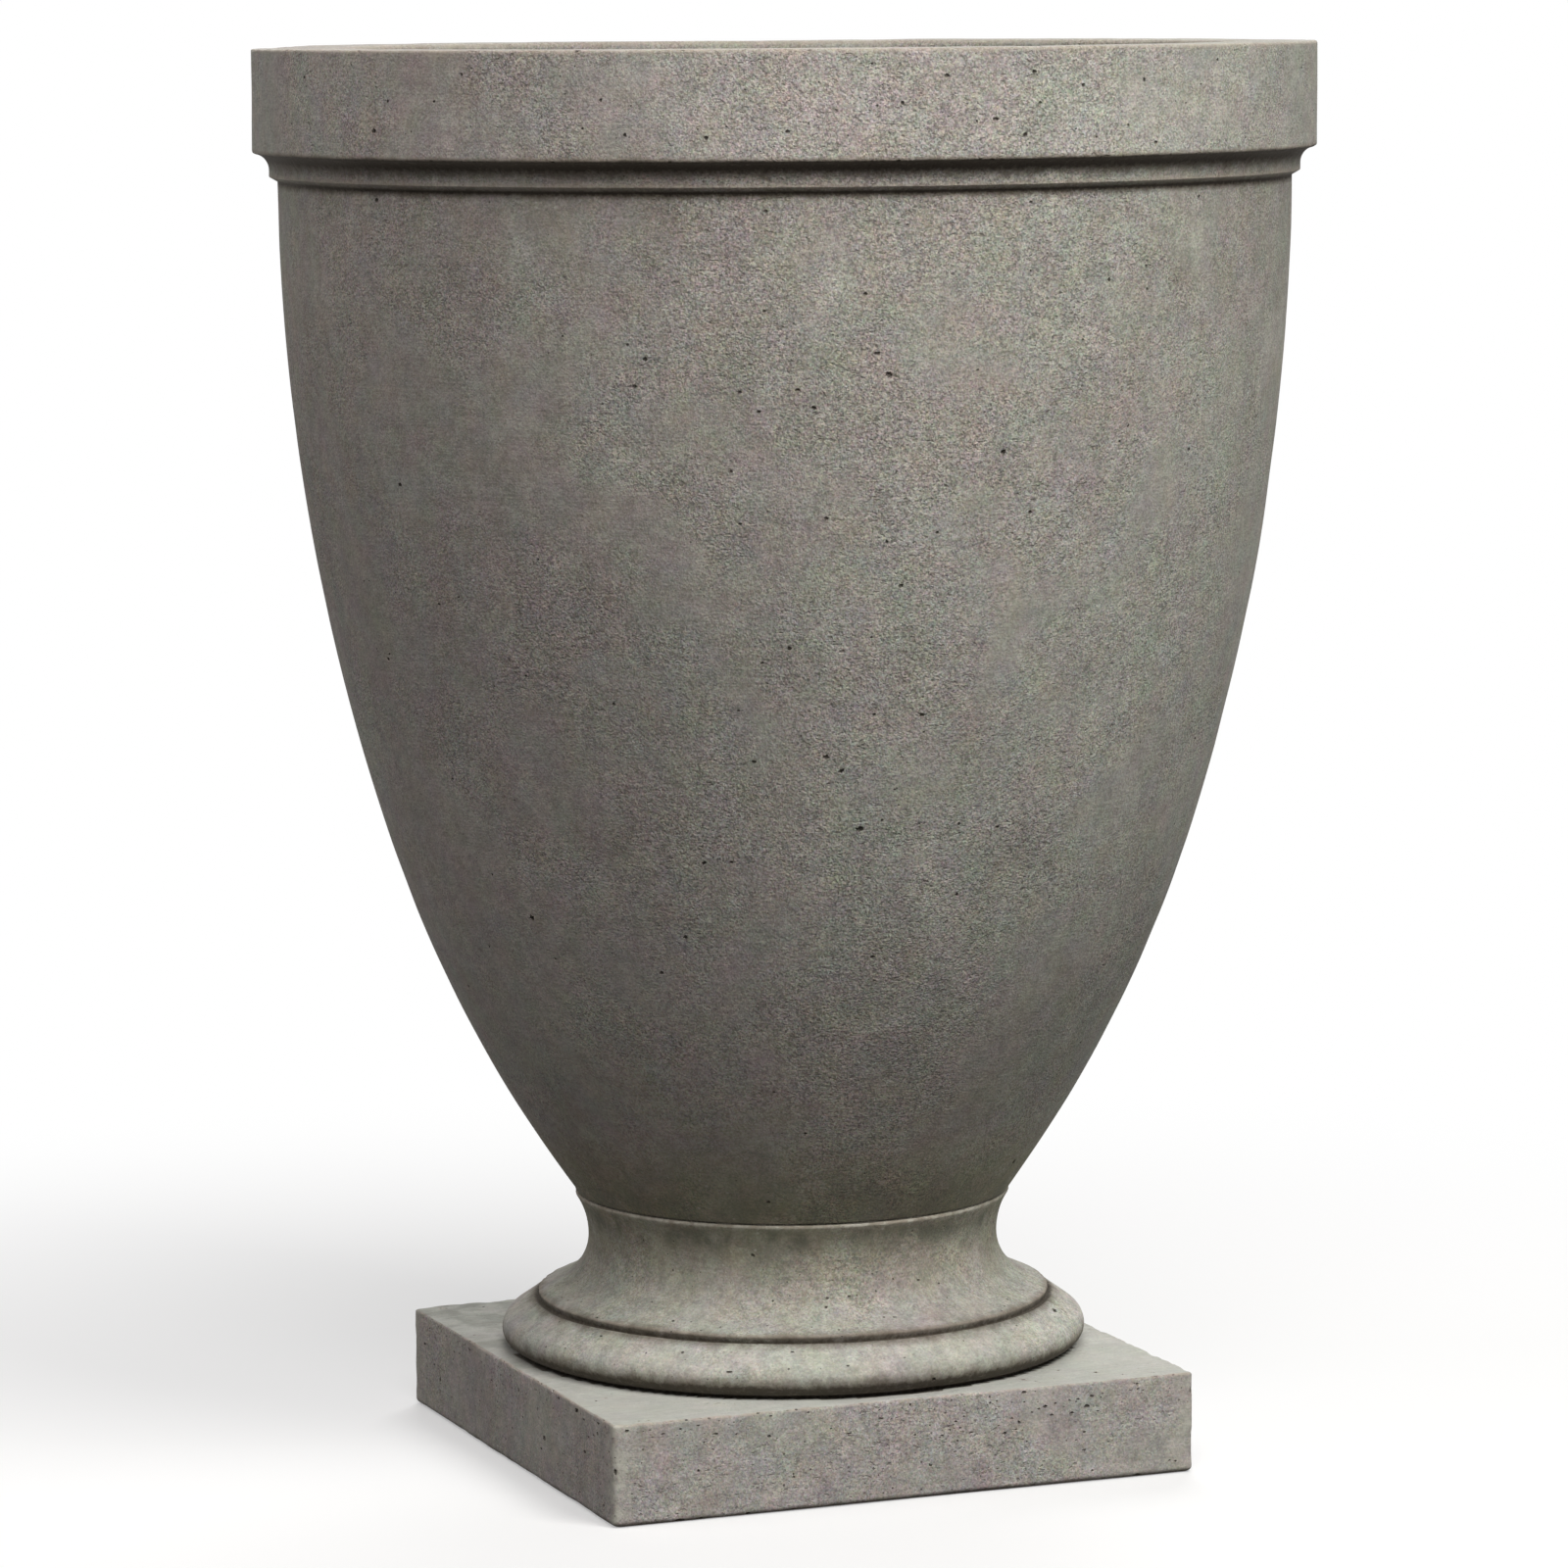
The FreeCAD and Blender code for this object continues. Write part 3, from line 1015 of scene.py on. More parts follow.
@dataclass
class DrainParts:
    """Sizes that the bowl and the foot share round the drain and the dowels."""

    sleeve_fit_gap: float = 0.3 * MM
    passage_gap: float = 2.5 * MM
    dowel_clearance: float = 0.5 * MM
    dowel_end_gap: float = 2.0 * MM

    def __post_init__(self) -> None:
        """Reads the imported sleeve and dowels."""
        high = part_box("drain_sleeve")[1]
        self.sleeve_radius, self.sleeve_top = high.x, high.z
        low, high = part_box("neck_dowels")
        self.dowel_bottom, self.dowel_top = low.z, high.z
        bars = coordinates(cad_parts["neck_dowels"].data)
        first = bars[(bars[:, 0] > 0) & (np.abs(bars[:, 1]) < high.x / 3)]
        self.dowel_radius = (first[:, 0].max() - first[:, 0].min()) / 2
        self.dowel_circle = high.x - self.dowel_radius

    @property
    def hole_radius(self) -> float:
        """The hole in the bowl that the sleeve is cast into."""
        return self.sleeve_radius + self.sleeve_fit_gap

    @property
    def passage_radius(self) -> float:
        """The wider hole in the foot."""
        return self.sleeve_radius + self.passage_gap

    def dowel_holes(self) -> list[tuple[Cut, bpy.types.Mesh]]:
        """Cuts the three upright holes for the dowels.

        Returns:
            A cut for each dowel.
        """
        radius, end = self.dowel_radius + self.dowel_clearance, self.dowel_end_gap
        steps = []
        for turn in range(3):
            angle = math.tau * turn / 3
            rod = turned("rod", [
                (0.0, self.dowel_bottom - end), (radius, self.dowel_bottom - end),
                (radius, self.dowel_top + end), (0.0, self.dowel_top + end),
            ], 32)
            rod.transform(Matrix.Translation((
                self.dowel_circle * math.cos(angle), self.dowel_circle * math.sin(angle), 0,
            )))
            steps.append((Cut.TAKE_AWAY, rod))
        return steps


@dataclass
class Bowl:
    """The tall bowl: a plain side under a bead, a hollow moulding and a flat band, and its planting space."""

    drain: DrainParts
    band_height: float = 56 * MM
    band_ease: float = 1.5 * MM
    mouth_ease: float = 3 * MM
    cavetto_radius: float = 9 * MM
    bead_flat: float = 3.5 * MM
    bead_drop: float = 2.6 * MM
    bead_projection: float = 4.5 * MM
    bead_ease: float = 0.7 * MM
    wall: float = 32 * MM
    knee: float = 17.4
    flare: float = 35.7
    base_radius: float = 118.8 * MM
    base_thickness: float = 45 * MM
    base_ease: float = 0.8 * MM
    floor_corner: float = 28 * MM
    segments: int = 288
    seed: int = 11
    scratch_place: Place = (-105.4, 345.2)
    large_pits: tuple[tuple[float, float, float, float], ...] = (
        # angle round the axis in degrees, then millimetres: height and width, then length over width
        (-102.3, 366.5, 3.2, 1.5), (-100.4, 600.6, 2.8, 1.2), (-106.9, 405.0, 2.4, 1.6), (-104.9, 397.5, 2.6, 1.1),
        (-110.2, 593.6, 2.0, 1.6), (-108.5, 584.5, 2.3, 1.3), (-114.4, 582.7, 2.0, 1.2), (-122.9, 348.6, 2.5, 1.0),
        (-119.2, 349.1, 2.0, 1.1), (-158.3, 722.2, 3.0, 1.0), (-161.0, 540.1, 2.6, 1.0), (-89.8, 727.3, 2.0, 1.8),
        (-95.0, 749.3, 2.1, 1.4), (-111.1, 722.4, 2.1, 1.2), (-111.3, 461.9, 2.4, 1.0), (-101.7, 611.4, 2.0, 1.8),
        (-99.6, 736.0, 2.0, 1.1), (-95.2, 425.8, 2.2, 1.3), (-127.9, 595.3, 2.1, 1.2), (-119.2, 719.6, 2.2, 1.2),
        (-127.5, 720.9, 2.2, 1.0), (-103.0, 641.2, 2.1, 1.1), (-98.5, 493.2, 2.1, 1.3), (-72.0, 745.7, 2.2, 1.0),
        (-107.1, 528.5, 2.0, 1.5), (-59.7, 554.8, 2.2, 1.2), (-86.6, 719.5, 2.1, 1.2), (-70.4, 714.1, 2.1, 1.2),
        (-83.3, 528.5, 2.1, 1.2), (-130.0, 738.2, 2.0, 1.0), (-132.9, 431.8, 2.0, 1.0), (-99.4, 296.7, 2.1, 1.3),
        (-117.5, 552.6, 1.8, 1.0), (-101.1, 426.8, 1.8, 1.2), (-100.3, 516.1, 2.0, 1.0), (-83.1, 363.8, 1.9, 1.2),
        (-60.2, 685.1, 1.9, 1.0), (-68.7, 639.3, 1.9, 1.0), (-84.5, 685.3, 1.8, 1.4), (-113.4, 682.8, 1.9, 1.2),
    )

    def __post_init__(self) -> None:
        """Works out the places of the rim's mouldings and the side's two arcs."""
        low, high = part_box("bowl")
        self.bottom, self.top = low.z, high.z
        self.rim_radius = min(high.x, high.y) - 0.02 * MM
        self.band_bottom = self.top - self.band_height
        self.cavetto_bottom = self.band_bottom - self.cavetto_radius
        self.bead_radius = self.rim_radius - self.cavetto_radius
        self.bead_bottom = self.cavetto_bottom - self.bead_flat
        self.body_top = self.bead_bottom - self.bead_drop
        self.body_radius = self.bead_radius - self.bead_projection
        self.mouth_radius = self.body_radius - self.wall
        self.floor_height = self.bottom + self.base_thickness
        knee, flare = math.radians(self.knee), math.radians(self.flare)
        width, height = self.body_radius - self.base_radius, self.body_top - self.bottom
        upper_width, upper_height = 1 - math.cos(knee), math.sin(knee)
        lower_width, lower_height = math.cos(knee) - math.cos(flare), math.sin(flare) - math.sin(knee)
        share = upper_width * lower_height - lower_width * upper_height
        self.upper_arc = (width * lower_height - height * lower_width) / share
        self.lower_arc = (height * upper_width - width * upper_height) / share
        self.upper_centre = (self.body_radius - self.upper_arc, self.body_top)
        reach = self.upper_arc - self.lower_arc
        self.lower_centre = (
            self.upper_centre[0] + reach * math.cos(knee), self.upper_centre[1] - reach * math.sin(knee),
        )

    def outline(self) -> list[Place]:
        """The closed outline, from the drain hole under the base round to the hole's top.

        Returns:
            Its points.
        """
        side_step, wall_step = 6.5 * MM, 15 * MM
        o = Outline(self.drain.hole_radius, self.bottom)
        past = 0.02
        flared = (self.base_radius + past * math.tan(math.radians(self.flare)), self.bottom + past)
        o.corner((self.base_radius, self.bottom), flared, self.base_ease)
        first = -self.flare + math.degrees(1.5 * MM / self.lower_arc)
        o.sweep(self.lower_centre, self.lower_arc, first, -self.knee, side_step)
        o.sweep(self.upper_centre, self.upper_arc, -self.knee, -0.12, side_step)
        o.corner((self.body_radius, self.body_top), (self.bead_radius, self.bead_bottom), self.bead_ease, 3)
        o.corner((self.bead_radius, self.bead_bottom), (self.bead_radius, self.cavetto_bottom), self.bead_ease)
        hollow = (self.rim_radius, self.cavetto_bottom)
        o.sweep(hollow, self.cavetto_radius, 180, 100, 1.1 * MM)
        ease = self.band_ease
        o.sweep((self.rim_radius - ease, self.band_bottom + ease), ease, -90, 0, 0.5 * MM)
        o.run(self.rim_radius, self.top - ease, 7 * MM)
        o.sweep((self.rim_radius - ease, self.top - ease), ease, 0, 90, 0.5 * MM)
        o.run(self.mouth_radius + self.mouth_ease, self.top, 7 * MM)
        o.sweep((self.mouth_radius + self.mouth_ease, self.top - self.mouth_ease), self.mouth_ease, 90, 180, 0.8 * MM)
        o.run(self.mouth_radius, self.body_top, wall_step)
        o.sweep(self.upper_centre, self.upper_arc - self.wall, 0, -self.knee, wall_step)
        inner = self.lower_arc - self.wall
        corner_height = self.floor_height + self.floor_corner
        rise = corner_height - self.lower_centre[1]
        corner_radius = self.lower_centre[0] + math.sqrt((inner - self.floor_corner) ** 2 - rise**2)
        meet = math.degrees(math.atan2(rise, corner_radius - self.lower_centre[0]))
        o.sweep(self.lower_centre, inner, -self.knee, meet, wall_step)
        o.sweep((corner_radius, corner_height), self.floor_corner, meet, -90, 4 * MM)
        o.run(self.drain.hole_radius, self.drain.sleeve_top, 9 * MM)
        o.run(self.drain.hole_radius, self.bottom, 12 * MM)
        return o.points[:-1]

    @property
    def arrises(self) -> list[Place]:
        """The edges that stand proud and wear.

        Returns:
            The radius and height of each.
        """
        set_back = self.band_ease * (1 - math.sqrt(0.5))
        return [
            (self.rim_radius - set_back, self.top - set_back),
            (self.rim_radius - set_back, self.band_bottom + set_back),
            (self.mouth_radius + 0.3 * self.mouth_ease, self.top - 0.3 * self.mouth_ease),
            (self.bead_radius, self.bead_bottom),
        ]

    @property
    def crevices(self) -> list[Place]:
        """The hollows that get dirt and painted shade: the hollow under the band, and the drain hole's top.

        Returns:
            The radius and height of each.
        """
        hollow = self.cavetto_radius
        shaded = [
            (self.rim_radius + hollow * math.cos(angle), self.cavetto_bottom + hollow * math.sin(angle))
            for angle in np.radians((101, 110, 119, 128, 137))
        ]
        return [*shaded, (self.drain.hole_radius, self.drain.sleeve_top)]

    def unevenness(self, points: np.ndarray) -> np.ndarray:
        """How far the hand-finished surface is below the true one, at each point.

        Args:
            points: The points, one row each.

        Returns:
            The depths, in metres.
        """
        slow, quick = dips(points, 0.14, 1, 0.55), dips(points, 0.035, 2, 0.22)
        nibbled = dips(points, 0.012, 3, 0.55) * np.exp(-ring_gap(points, self.arrises[:3]) / (1.4 * MM))
        fitted = (points[:, 2] < self.bottom + 0.5 * MM) | (radii_of(points) < self.drain.hole_radius + 1 * MM)
        return np.where(fitted, 0.0, slow + quick + nibbled)

    def bites(self, sculptor: Sculptor) -> None:
        """Chooses the bowl's pits, chips and scratches.

        Args:
            sculptor: What keeps them.
        """

        def on_side(places: np.ndarray, normals: np.ndarray) -> np.ndarray:
            """The outer side under the bead, more in some patches."""
            low = (places[:, 2] > self.bottom + 4 * MM) & (places[:, 2] < self.body_top - 4 * MM)
            patches = 1.0 + 1.5 * np.sin(places[:, 0] * 31) * np.sin(places[:, 2] * 23 + 1)
            return np.where((facing_out(places, normals) > 0.3) & low, patches, 0).clip(0)

        def on_band(places: np.ndarray, normals: np.ndarray) -> np.ndarray:
            """The flat band round the rim."""
            inside = (places[:, 2] > self.band_bottom + 5 * MM) & (places[:, 2] < self.top - 5 * MM)
            return np.where((radii_of(places) > self.rim_radius - 1 * MM) & inside, 1.0, 0.0)

        def on_top(places: np.ndarray, normals: np.ndarray) -> np.ndarray:
            """The rim's flat top."""
            return np.where((places[:, 2] > self.top - 1 * MM) & (normals[:, 2] > 0.97), 1.0, 0.0)

        def inside(places: np.ndarray, normals: np.ndarray) -> np.ndarray:
            """The wall of the planting space."""
            wall = (radii_of(places) < self.mouth_radius + 2 * MM) & (places[:, 2] > self.floor_height + 20 * MM)
            return np.where((facing_out(places, normals) < -0.3) & wall, 1.0, 0.0)

        for angle, height, width, stretch in self.large_pits:
            sculptor.pit(*sculptor.struck(angle, height * MM), width * MM, stretch)
        angle, height = self.scratch_place
        away = spoke(math.radians(angle))
        along = Vector((-away.y, away.x, 0.12)).normalized()
        sculptor.scratch(*sculptor.struck(angle, height * MM), along, 8 * MM)
        chips = ((45, 70, 3.0, 0.35), (-45, 110, 2.8, 0.5), (135, 24, 4.0, 0.4))
        for edge, (lean, count, length, depth) in zip(self.arrises, chips):
            sculptor.chip_ring(edge, lean, count, length * MM, depth * MM)
        for count, weight, smallest, typical, largest in (
            (212, on_side, 1.0, 0.5, 4.0), (130, on_band, 0.9, 0.5, 3.2),
            (34, on_top, 0.9, 0.6, 3.0), (44, inside, 1.6, 1.3, 7.0),
        ):
            sculptor.scatter_pits(count, weight, smallest * MM, typical * MM, largest * MM)

    def build(self) -> bpy.types.Object:
        """Makes and dresses the bowl.

        Returns:
            The finished piece.
        """
        blank = turned("bowl_blank", self.outline(), self.segments)
        sink(blank, self.unevenness(coordinates(blank)))
        sculptor = Sculptor(combined(blank, self.drain.dowel_holes()), self.seed)
        self.bites(sculptor)
        mesh = sculptor.carved()
        points = coordinates(mesh)
        heights = points[:, 2]
        turn = np.degrees(np.arctan2(points[:, 1], points[:, 0]))
        # dirt and painted shade in the hollow under the band, and a thin painted shadow line under the bead
        under_bead = ring_gap(points, [(self.body_radius, self.body_top)]) * 1.15
        spread = np.where(heights > self.band_bottom + 0.4 * MM, 1.4, 0.62)
        below = np.clip((self.top - 2 * MM - heights) / (8 * MM), 0, 1)
        offset = self.side_radius(heights) - radii_of(points)
        # painted light and shade by height: darkest at the bowl's base, lightest on the band
        levels = [
            self.bottom, self.bottom + 0.05, 0.36, self.body_top - 0.1, self.bead_bottom, self.band_bottom + 3 * MM,
        ]
        drier = np.interp(heights, [self.bottom, 0.30, self.body_top], [0.2, 0.6, 1.0])
        casts = [-180, -140, -100, -60, -20, 90, 180], [0.3, 0.7, 0.1, -0.6, -1.0, 0.0, 0.3]
        keep_numbers(
            mesh,
            arris_gap=ring_gap(points, self.arrises) / MM,
            crevice_gap=np.minimum(ring_gap(points, self.crevices) * spread, under_bead) / MM,
            inner=np.where(offset > self.wall * 0.5, below, 0.0),
            top_skin=0.0,
            rubbed=0.0,
            bleach=np.interp(heights, levels, [0.68, 0.93, 1.04, 0.96, 0.96, 1.09]),
            clay=np.interp(turn, *casts),
            dry=np.exp(-((turn + 97) / 32) ** 2) * drier,
            # a darker band at the bowl's base: painted shade with a dark stain
            sooty=np.exp(-((heights - self.bottom) / (26 * MM)) ** 2) * 0.5,
        )
        return shown("bowl_casting", mesh, CastStone("bowl_stone").material(), "bowl")

    def side_radius(self, heights: np.ndarray) -> np.ndarray:
        """The widest row's radius at some heights. Under the bead, the inner wall's own rows count too.

        Args:
            heights: The heights.

        Returns:
            The radii.
        """
        widest: dict[float, float] = {}
        for radius, height in self.outline():
            if radius > self.base_radius - 1 * MM and height < self.top - 0.5 * MM:
                widest[round(height, 5)] = max(radius, widest.get(round(height, 5), 0))
        keys = [key for key in sorted(widest) if key <= self.body_top or widest[key] > self.body_radius - 1 * MM]
        return np.interp(heights, keys, [widest[key] for key in keys])


@dataclass
class Foot:
    """The turned foot on its square plinth, hollow from below."""

    drain: DrainParts
    plinth_height: float = 54.5 * MM
    corner_round: float = 3 * MM
    top_ease: float = 1.6 * MM
    bottom_ease: float = 3 * MM
    waist_radius: float = 112 * MM
    waist_rise: float = 61 * MM
    lip_radius: float = 120 * MM
    lip_ease: float = 1.2 * MM
    scotia_radius: float = 28 * MM
    scotia_sweep: float = 67.0
    nose_radius: float = 140.3 * MM
    groove_setback: float = 2 * MM
    groove_rise: float = 25 * MM
    torus_radius: float = 160 * MM
    torus_rise: float = 9.5 * MM
    torus_top: float = 11 * MM
    torus_bottom: float = 8 * MM
    torus_flank: float = 55.0
    crest_radius: float = 142.5 * MM
    undercut_radius: float = 151 * MM
    core_mouth: float = 92 * MM
    core_top: float = 62 * MM
    core_ceiling: float = 52 * MM
    core_round: float = 12 * MM
    segments: int = 264
    seed: int = 29

    def __post_init__(self) -> None:
        """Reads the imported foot's size."""
        low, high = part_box("foot")
        self.half_side, self.top = high.x, high.z
        self.waist_height = self.plinth_height + self.waist_rise
        self.core_height = self.top - self.core_ceiling

    def scotia_end(self) -> Place:
        """Where the scotia's arc runs out into the slope.

        Returns:
            Its radius and height.
        """
        sweep = math.radians(180 + self.scotia_sweep)
        return (
            self.waist_radius + self.scotia_radius + self.scotia_radius * math.cos(sweep),
            self.waist_height + self.scotia_radius * math.sin(sweep),
        )

    def nose(self) -> Place:
        """The nose's tip, where the slope under the scotia ends."""
        start = self.scotia_end()
        slope = math.tan(math.radians(90 - self.scotia_sweep))
        return self.nose_radius, start[1] - slope * (self.nose_radius - start[0])

    def crest(self) -> Place:
        """The torus's crest beside the groove.

        Returns:
            Its radius and height.
        """
        flank = math.radians(self.torus_flank)
        rise = self.plinth_height + self.torus_rise
        edge = (self.torus_radius - self.torus_top * (1 - math.cos(flank)), rise + self.torus_top * math.sin(flank))
        return self.crest_radius, edge[1] + (edge[0] - self.crest_radius) / math.tan(flank)

    @property
    def groove(self) -> Place:
        """The groove's bottom."""
        return self.nose_radius - self.groove_setback, self.plinth_height + self.groove_rise

    def outline(self) -> list[Place]:
        """The closed outline of the turned mouldings, rooted in the plinth, round a narrow middle hole.

        Returns:
            Its points.
        """
        root, core = self.plinth_height / 2, 10 * MM
        rise = self.plinth_height + self.torus_rise
        under = rise - self.torus_bottom
        o = Outline(core, root)
        o.run(self.undercut_radius, root, 30 * MM)
        o.corner((self.undercut_radius, under), (self.torus_radius, under), 0.9 * MM, 3)
        o.run(self.torus_radius - self.torus_bottom, under, 3 * MM)
        o.sweep((self.torus_radius - self.torus_bottom, rise), self.torus_bottom, -90, 0, 1.2 * MM)
        o.sweep((self.torus_radius - self.torus_top, rise), self.torus_top, 0, self.torus_flank, 1.3 * MM)
        o.corner(self.crest(), self.groove, 1.6 * MM)
        o.corner(self.groove, self.nose(), 0.8 * MM)
        centre = (self.waist_radius + self.scotia_radius, self.waist_height)
        start = self.scotia_end()
        o.corner(self.nose(), start, 1.3 * MM)
        o.run(*start, 2.4 * MM)
        o.sweep(centre, self.scotia_radius, 180 + self.scotia_sweep, 180, 2.2 * MM)
        rise = self.top - self.waist_height
        lean = self.lip_radius - self.waist_radius
        hollow = (lean**2 + rise**2) / (2 * lean)
        lip = 180 - math.degrees(math.asin(rise / hollow))
        spare = math.degrees(2.4 * MM / hollow)
        o.sweep((self.waist_radius + hollow, self.waist_height), hollow, 180, lip + spare, 2.4 * MM)
        o.corner((self.lip_radius, self.top), (core, self.top), self.lip_ease)
        o.run(core, self.top, 12 * MM)
        o.run(core, root, 60 * MM)
        return o.points[:-1]

    def plinth(self) -> bpy.types.Mesh:
        """The square block, with close rows of vertices at its eased edges.

        Returns:
            A closed mesh.
        """
        inner = self.half_side - self.corner_round
        steps, bends = 106, 5
        side = [(self.half_side, -inner + 2 * inner * (i + 1) / (steps + 1)) for i in range(steps)]
        for i in range(bends + 1):
            bend = math.radians(90 * i / bends)
            side.append((inner + self.corner_round * math.cos(bend), inner + self.corner_round * math.sin(bend)))
        ring = np.array([
            (x * math.cos(q) - y * math.sin(q), x * math.sin(q) + y * math.cos(q))
            for q in (0, math.pi / 2, math.pi, 3 * math.pi / 2) for x, y in side
        ])
        o = Outline(self.half_side - 104 * MM, 0.0)
        o.run(self.half_side - self.bottom_ease, 0.0, 14 * MM)
        o.sweep((self.half_side - self.bottom_ease, self.bottom_ease), self.bottom_ease, -90, 0, 0.9 * MM)
        o.run(self.half_side, self.plinth_height - self.top_ease, 3.5 * MM)
        o.sweep((self.half_side - self.top_ease, self.plinth_height - self.top_ease), self.top_ease, 0, 90, 0.5 * MM)
        o.run(self.half_side - 66 * MM, self.plinth_height, 4.5 * MM)
        points = np.vstack([np.column_stack([ring * (r / self.half_side), np.full(len(ring), z)]) for r, z in o.points])
        count, above = len(ring), len(ring) * (len(o.points) - 1)
        faces: list[tuple[int, ...]] = []
        for low in range(0, above, count):
            for i in range(count):
                after = (i + 1) % count
                faces.append((low + i, low + after, low + count + after, low + count + i))
        faces.append(tuple(reversed(range(count))))
        faces.append(tuple(range(above, above + count)))
        return new_mesh("plinth_blank", points, faces)

    def plinth_edge_gap(self, points: np.ndarray) -> np.ndarray:
        """How far each point is from the plinth's nearest edge.

        Args:
            points: The points, one row each.

        Returns:
            The distances.
        """
        x, y = self.half_side - np.abs(points[:, 0]), self.half_side - np.abs(points[:, 1])
        z_top, z_low = self.plinth_height - points[:, 2], points[:, 2]
        nearest = np.minimum(x, y)
        return np.min([np.hypot(nearest, z_top), np.hypot(nearest, z_low) * 1.6, np.hypot(x, y) * 0.9], axis=0)

    def uneven_plinth(self, points: np.ndarray) -> np.ndarray:
        """How far the plinth's surface is below the true one.

        Args:
            points: The points, one row each.

        Returns:
            The depths, in metres.
        """
        slow, quick = dips(points, 0.09, 5, 0.6), dips(points, 0.02, 6, 0.3)
        edge = np.exp(-self.plinth_edge_gap(points) / (2.0 * MM)) * np.clip(points[:, 2] / (30 * MM), 0.25, 1)
        nibbled = dips(points, 0.0085, 7, 1.2, 0.15) * edge
        return np.where(points[:, 2] < 0.1 * MM, 0.0, slow + quick + nibbled)

    def uneven_turning(self, points: np.ndarray) -> np.ndarray:
        """How far the turned mouldings are below the true ones.

        Args:
            points: The points, one row each.

        Returns:
            The depths, in metres.
        """
        slow, quick = dips(points, 0.07, 8, 0.4), dips(points, 0.018, 9, 0.18)
        nibbled = dips(points, 0.007, 12, 0.7, 0.1) * np.exp(-ring_gap(points, self.arrises) / (1.6 * MM))
        bedded = (points[:, 2] > self.top - 0.2 * MM) | (points[:, 2] < self.plinth_height)
        bedded |= radii_of(points) < 20 * MM
        return np.where(bedded, 0.0, slow + quick + nibbled)

    def core(self) -> bpy.types.Mesh:
        """The hollow under the foot with the drain's passage above it.

        Returns:
            A closed mesh.
        """
        slope = (self.core_mouth - self.core_top) / self.core_height
        past = 5 * MM
        o = Outline(0.0, -past)
        o.add(self.core_mouth + slope * past, -past)
        o.corner((self.core_top, self.core_height), (0.0, self.core_height), self.core_round, 8)
        o.run(self.drain.passage_radius, self.core_height, 12 * MM)
        o.run(self.drain.passage_radius, self.top + past, 12 * MM)
        o.add(0.0, self.top + past)
        return turned("core", o.points, 192)

    @property
    def arrises(self) -> list[Place]:
        """The turned edges that stand proud and wear."""
        return [self.nose(), (self.lip_radius - 0.3 * MM, self.top - 0.2 * MM)]

    @property
    def crevices(self) -> list[Place]:
        """The hollows that get dirt and painted shade: the groove and the torus's underside.

        Returns:
            The radius and height of each.
        """
        rise, drop = self.plinth_height + self.torus_rise, self.torus_bottom
        underside = [
            (self.torus_radius - drop + drop * math.cos(angle), rise + drop * math.sin(angle))
            for angle in np.radians((-90, -68, -48, -30))
        ]
        return [self.groove, (self.groove[0] + 1.5 * MM, self.groove[1] + 1.2 * MM), *underside]

    def bites(self, sculptor: Sculptor) -> None:
        """Chooses the foot's pits and chips.

        Args:
            sculptor: What keeps them.
        """

        def on_turning(places: np.ndarray, normals: np.ndarray) -> np.ndarray:
            """The torus and the scotia."""
            shown_part = (places[:, 2] > self.plinth_height + 6 * MM) & (places[:, 2] < self.top - 4 * MM)
            clear = ring_gap(places, [self.groove]) > 3.5 * MM
            return np.where(shown_part & clear & (radii_of(places) > self.waist_radius - 2 * MM), 1.0, 0.0)

        def on_sides(places: np.ndarray, normals: np.ndarray) -> np.ndarray:
            """The plinth's upright sides, more towards their top edge.

            Args:
                places: The middles of faces, one row each.
                normals: Their normals.

            Returns:
                Each place's share.
            """
            upright = np.abs(normals[:, 2]) < 0.2
            outside = np.maximum(np.abs(places[:, 0]), np.abs(places[:, 1])) > self.half_side - 2 * MM
            inside = (places[:, 2] > 5 * MM) & (places[:, 2] < self.plinth_height - 3 * MM)
            return np.where(upright & outside & inside, 0.35 + (places[:, 2] / self.plinth_height) ** 4 * 3.4, 0.0)

        def on_ledge(places: np.ndarray, normals: np.ndarray) -> np.ndarray:
            """The plinth's top, clear of the torus."""
            flat = (normals[:, 2] > 0.97) & (np.abs(places[:, 2] - self.plinth_height) < 1.5 * MM)
            return np.where(flat & (radii_of(places) > self.torus_radius + 4 * MM), 1.0, 0.0)

        half = self.half_side - 0.5 * MM
        end, top = half - 6 * MM, self.plinth_height - 0.5 * MM
        low, post = half - 0.5 * MM, half - 1 * MM
        edges = (
            ((half, -end, top), (half, end, top), (1, 0, 1), 34, 3.2, 0.5),
            ((low, -end, 1.2 * MM), (low, end, 1.2 * MM), (1, 0, -1), 12, 4.5, 0.4),
            ((post, post, 7 * MM), (post, post, 47 * MM), (1, 1, 0), 12, 3.0, 0.8),
        )
        for quarter in range(4):
            spin = Matrix.Rotation(math.pi / 2 * quarter, 3, "Z")
            for start, stop, out, count, length, depth in edges:
                places = spin @ Vector(start), spin @ Vector(stop)
                sculptor.chip_line(*places, spin @ Vector(out).normalized(), count, length * MM, depth * MM)
        sculptor.chip_ring((self.nose_radius - 0.4 * MM, self.nose()[1]), 10, 26, 2.6 * MM, 0.3 * MM)
        sculptor.chip_ring((self.lip_radius - 0.4 * MM, self.top - 0.4 * MM), 30, 16, 3.0 * MM, 0.3 * MM)
        sculptor.scatter_pits(640, on_sides, 0.6 * MM, 0.42 * MM, 2.8 * MM, 2.8)
        sculptor.scatter_pits(110, on_turning, 0.7 * MM, 0.42 * MM, 3.0 * MM, 2.4)
        sculptor.scatter_pits(24, on_ledge, 0.8 * MM, 0.5 * MM, 2.4 * MM)

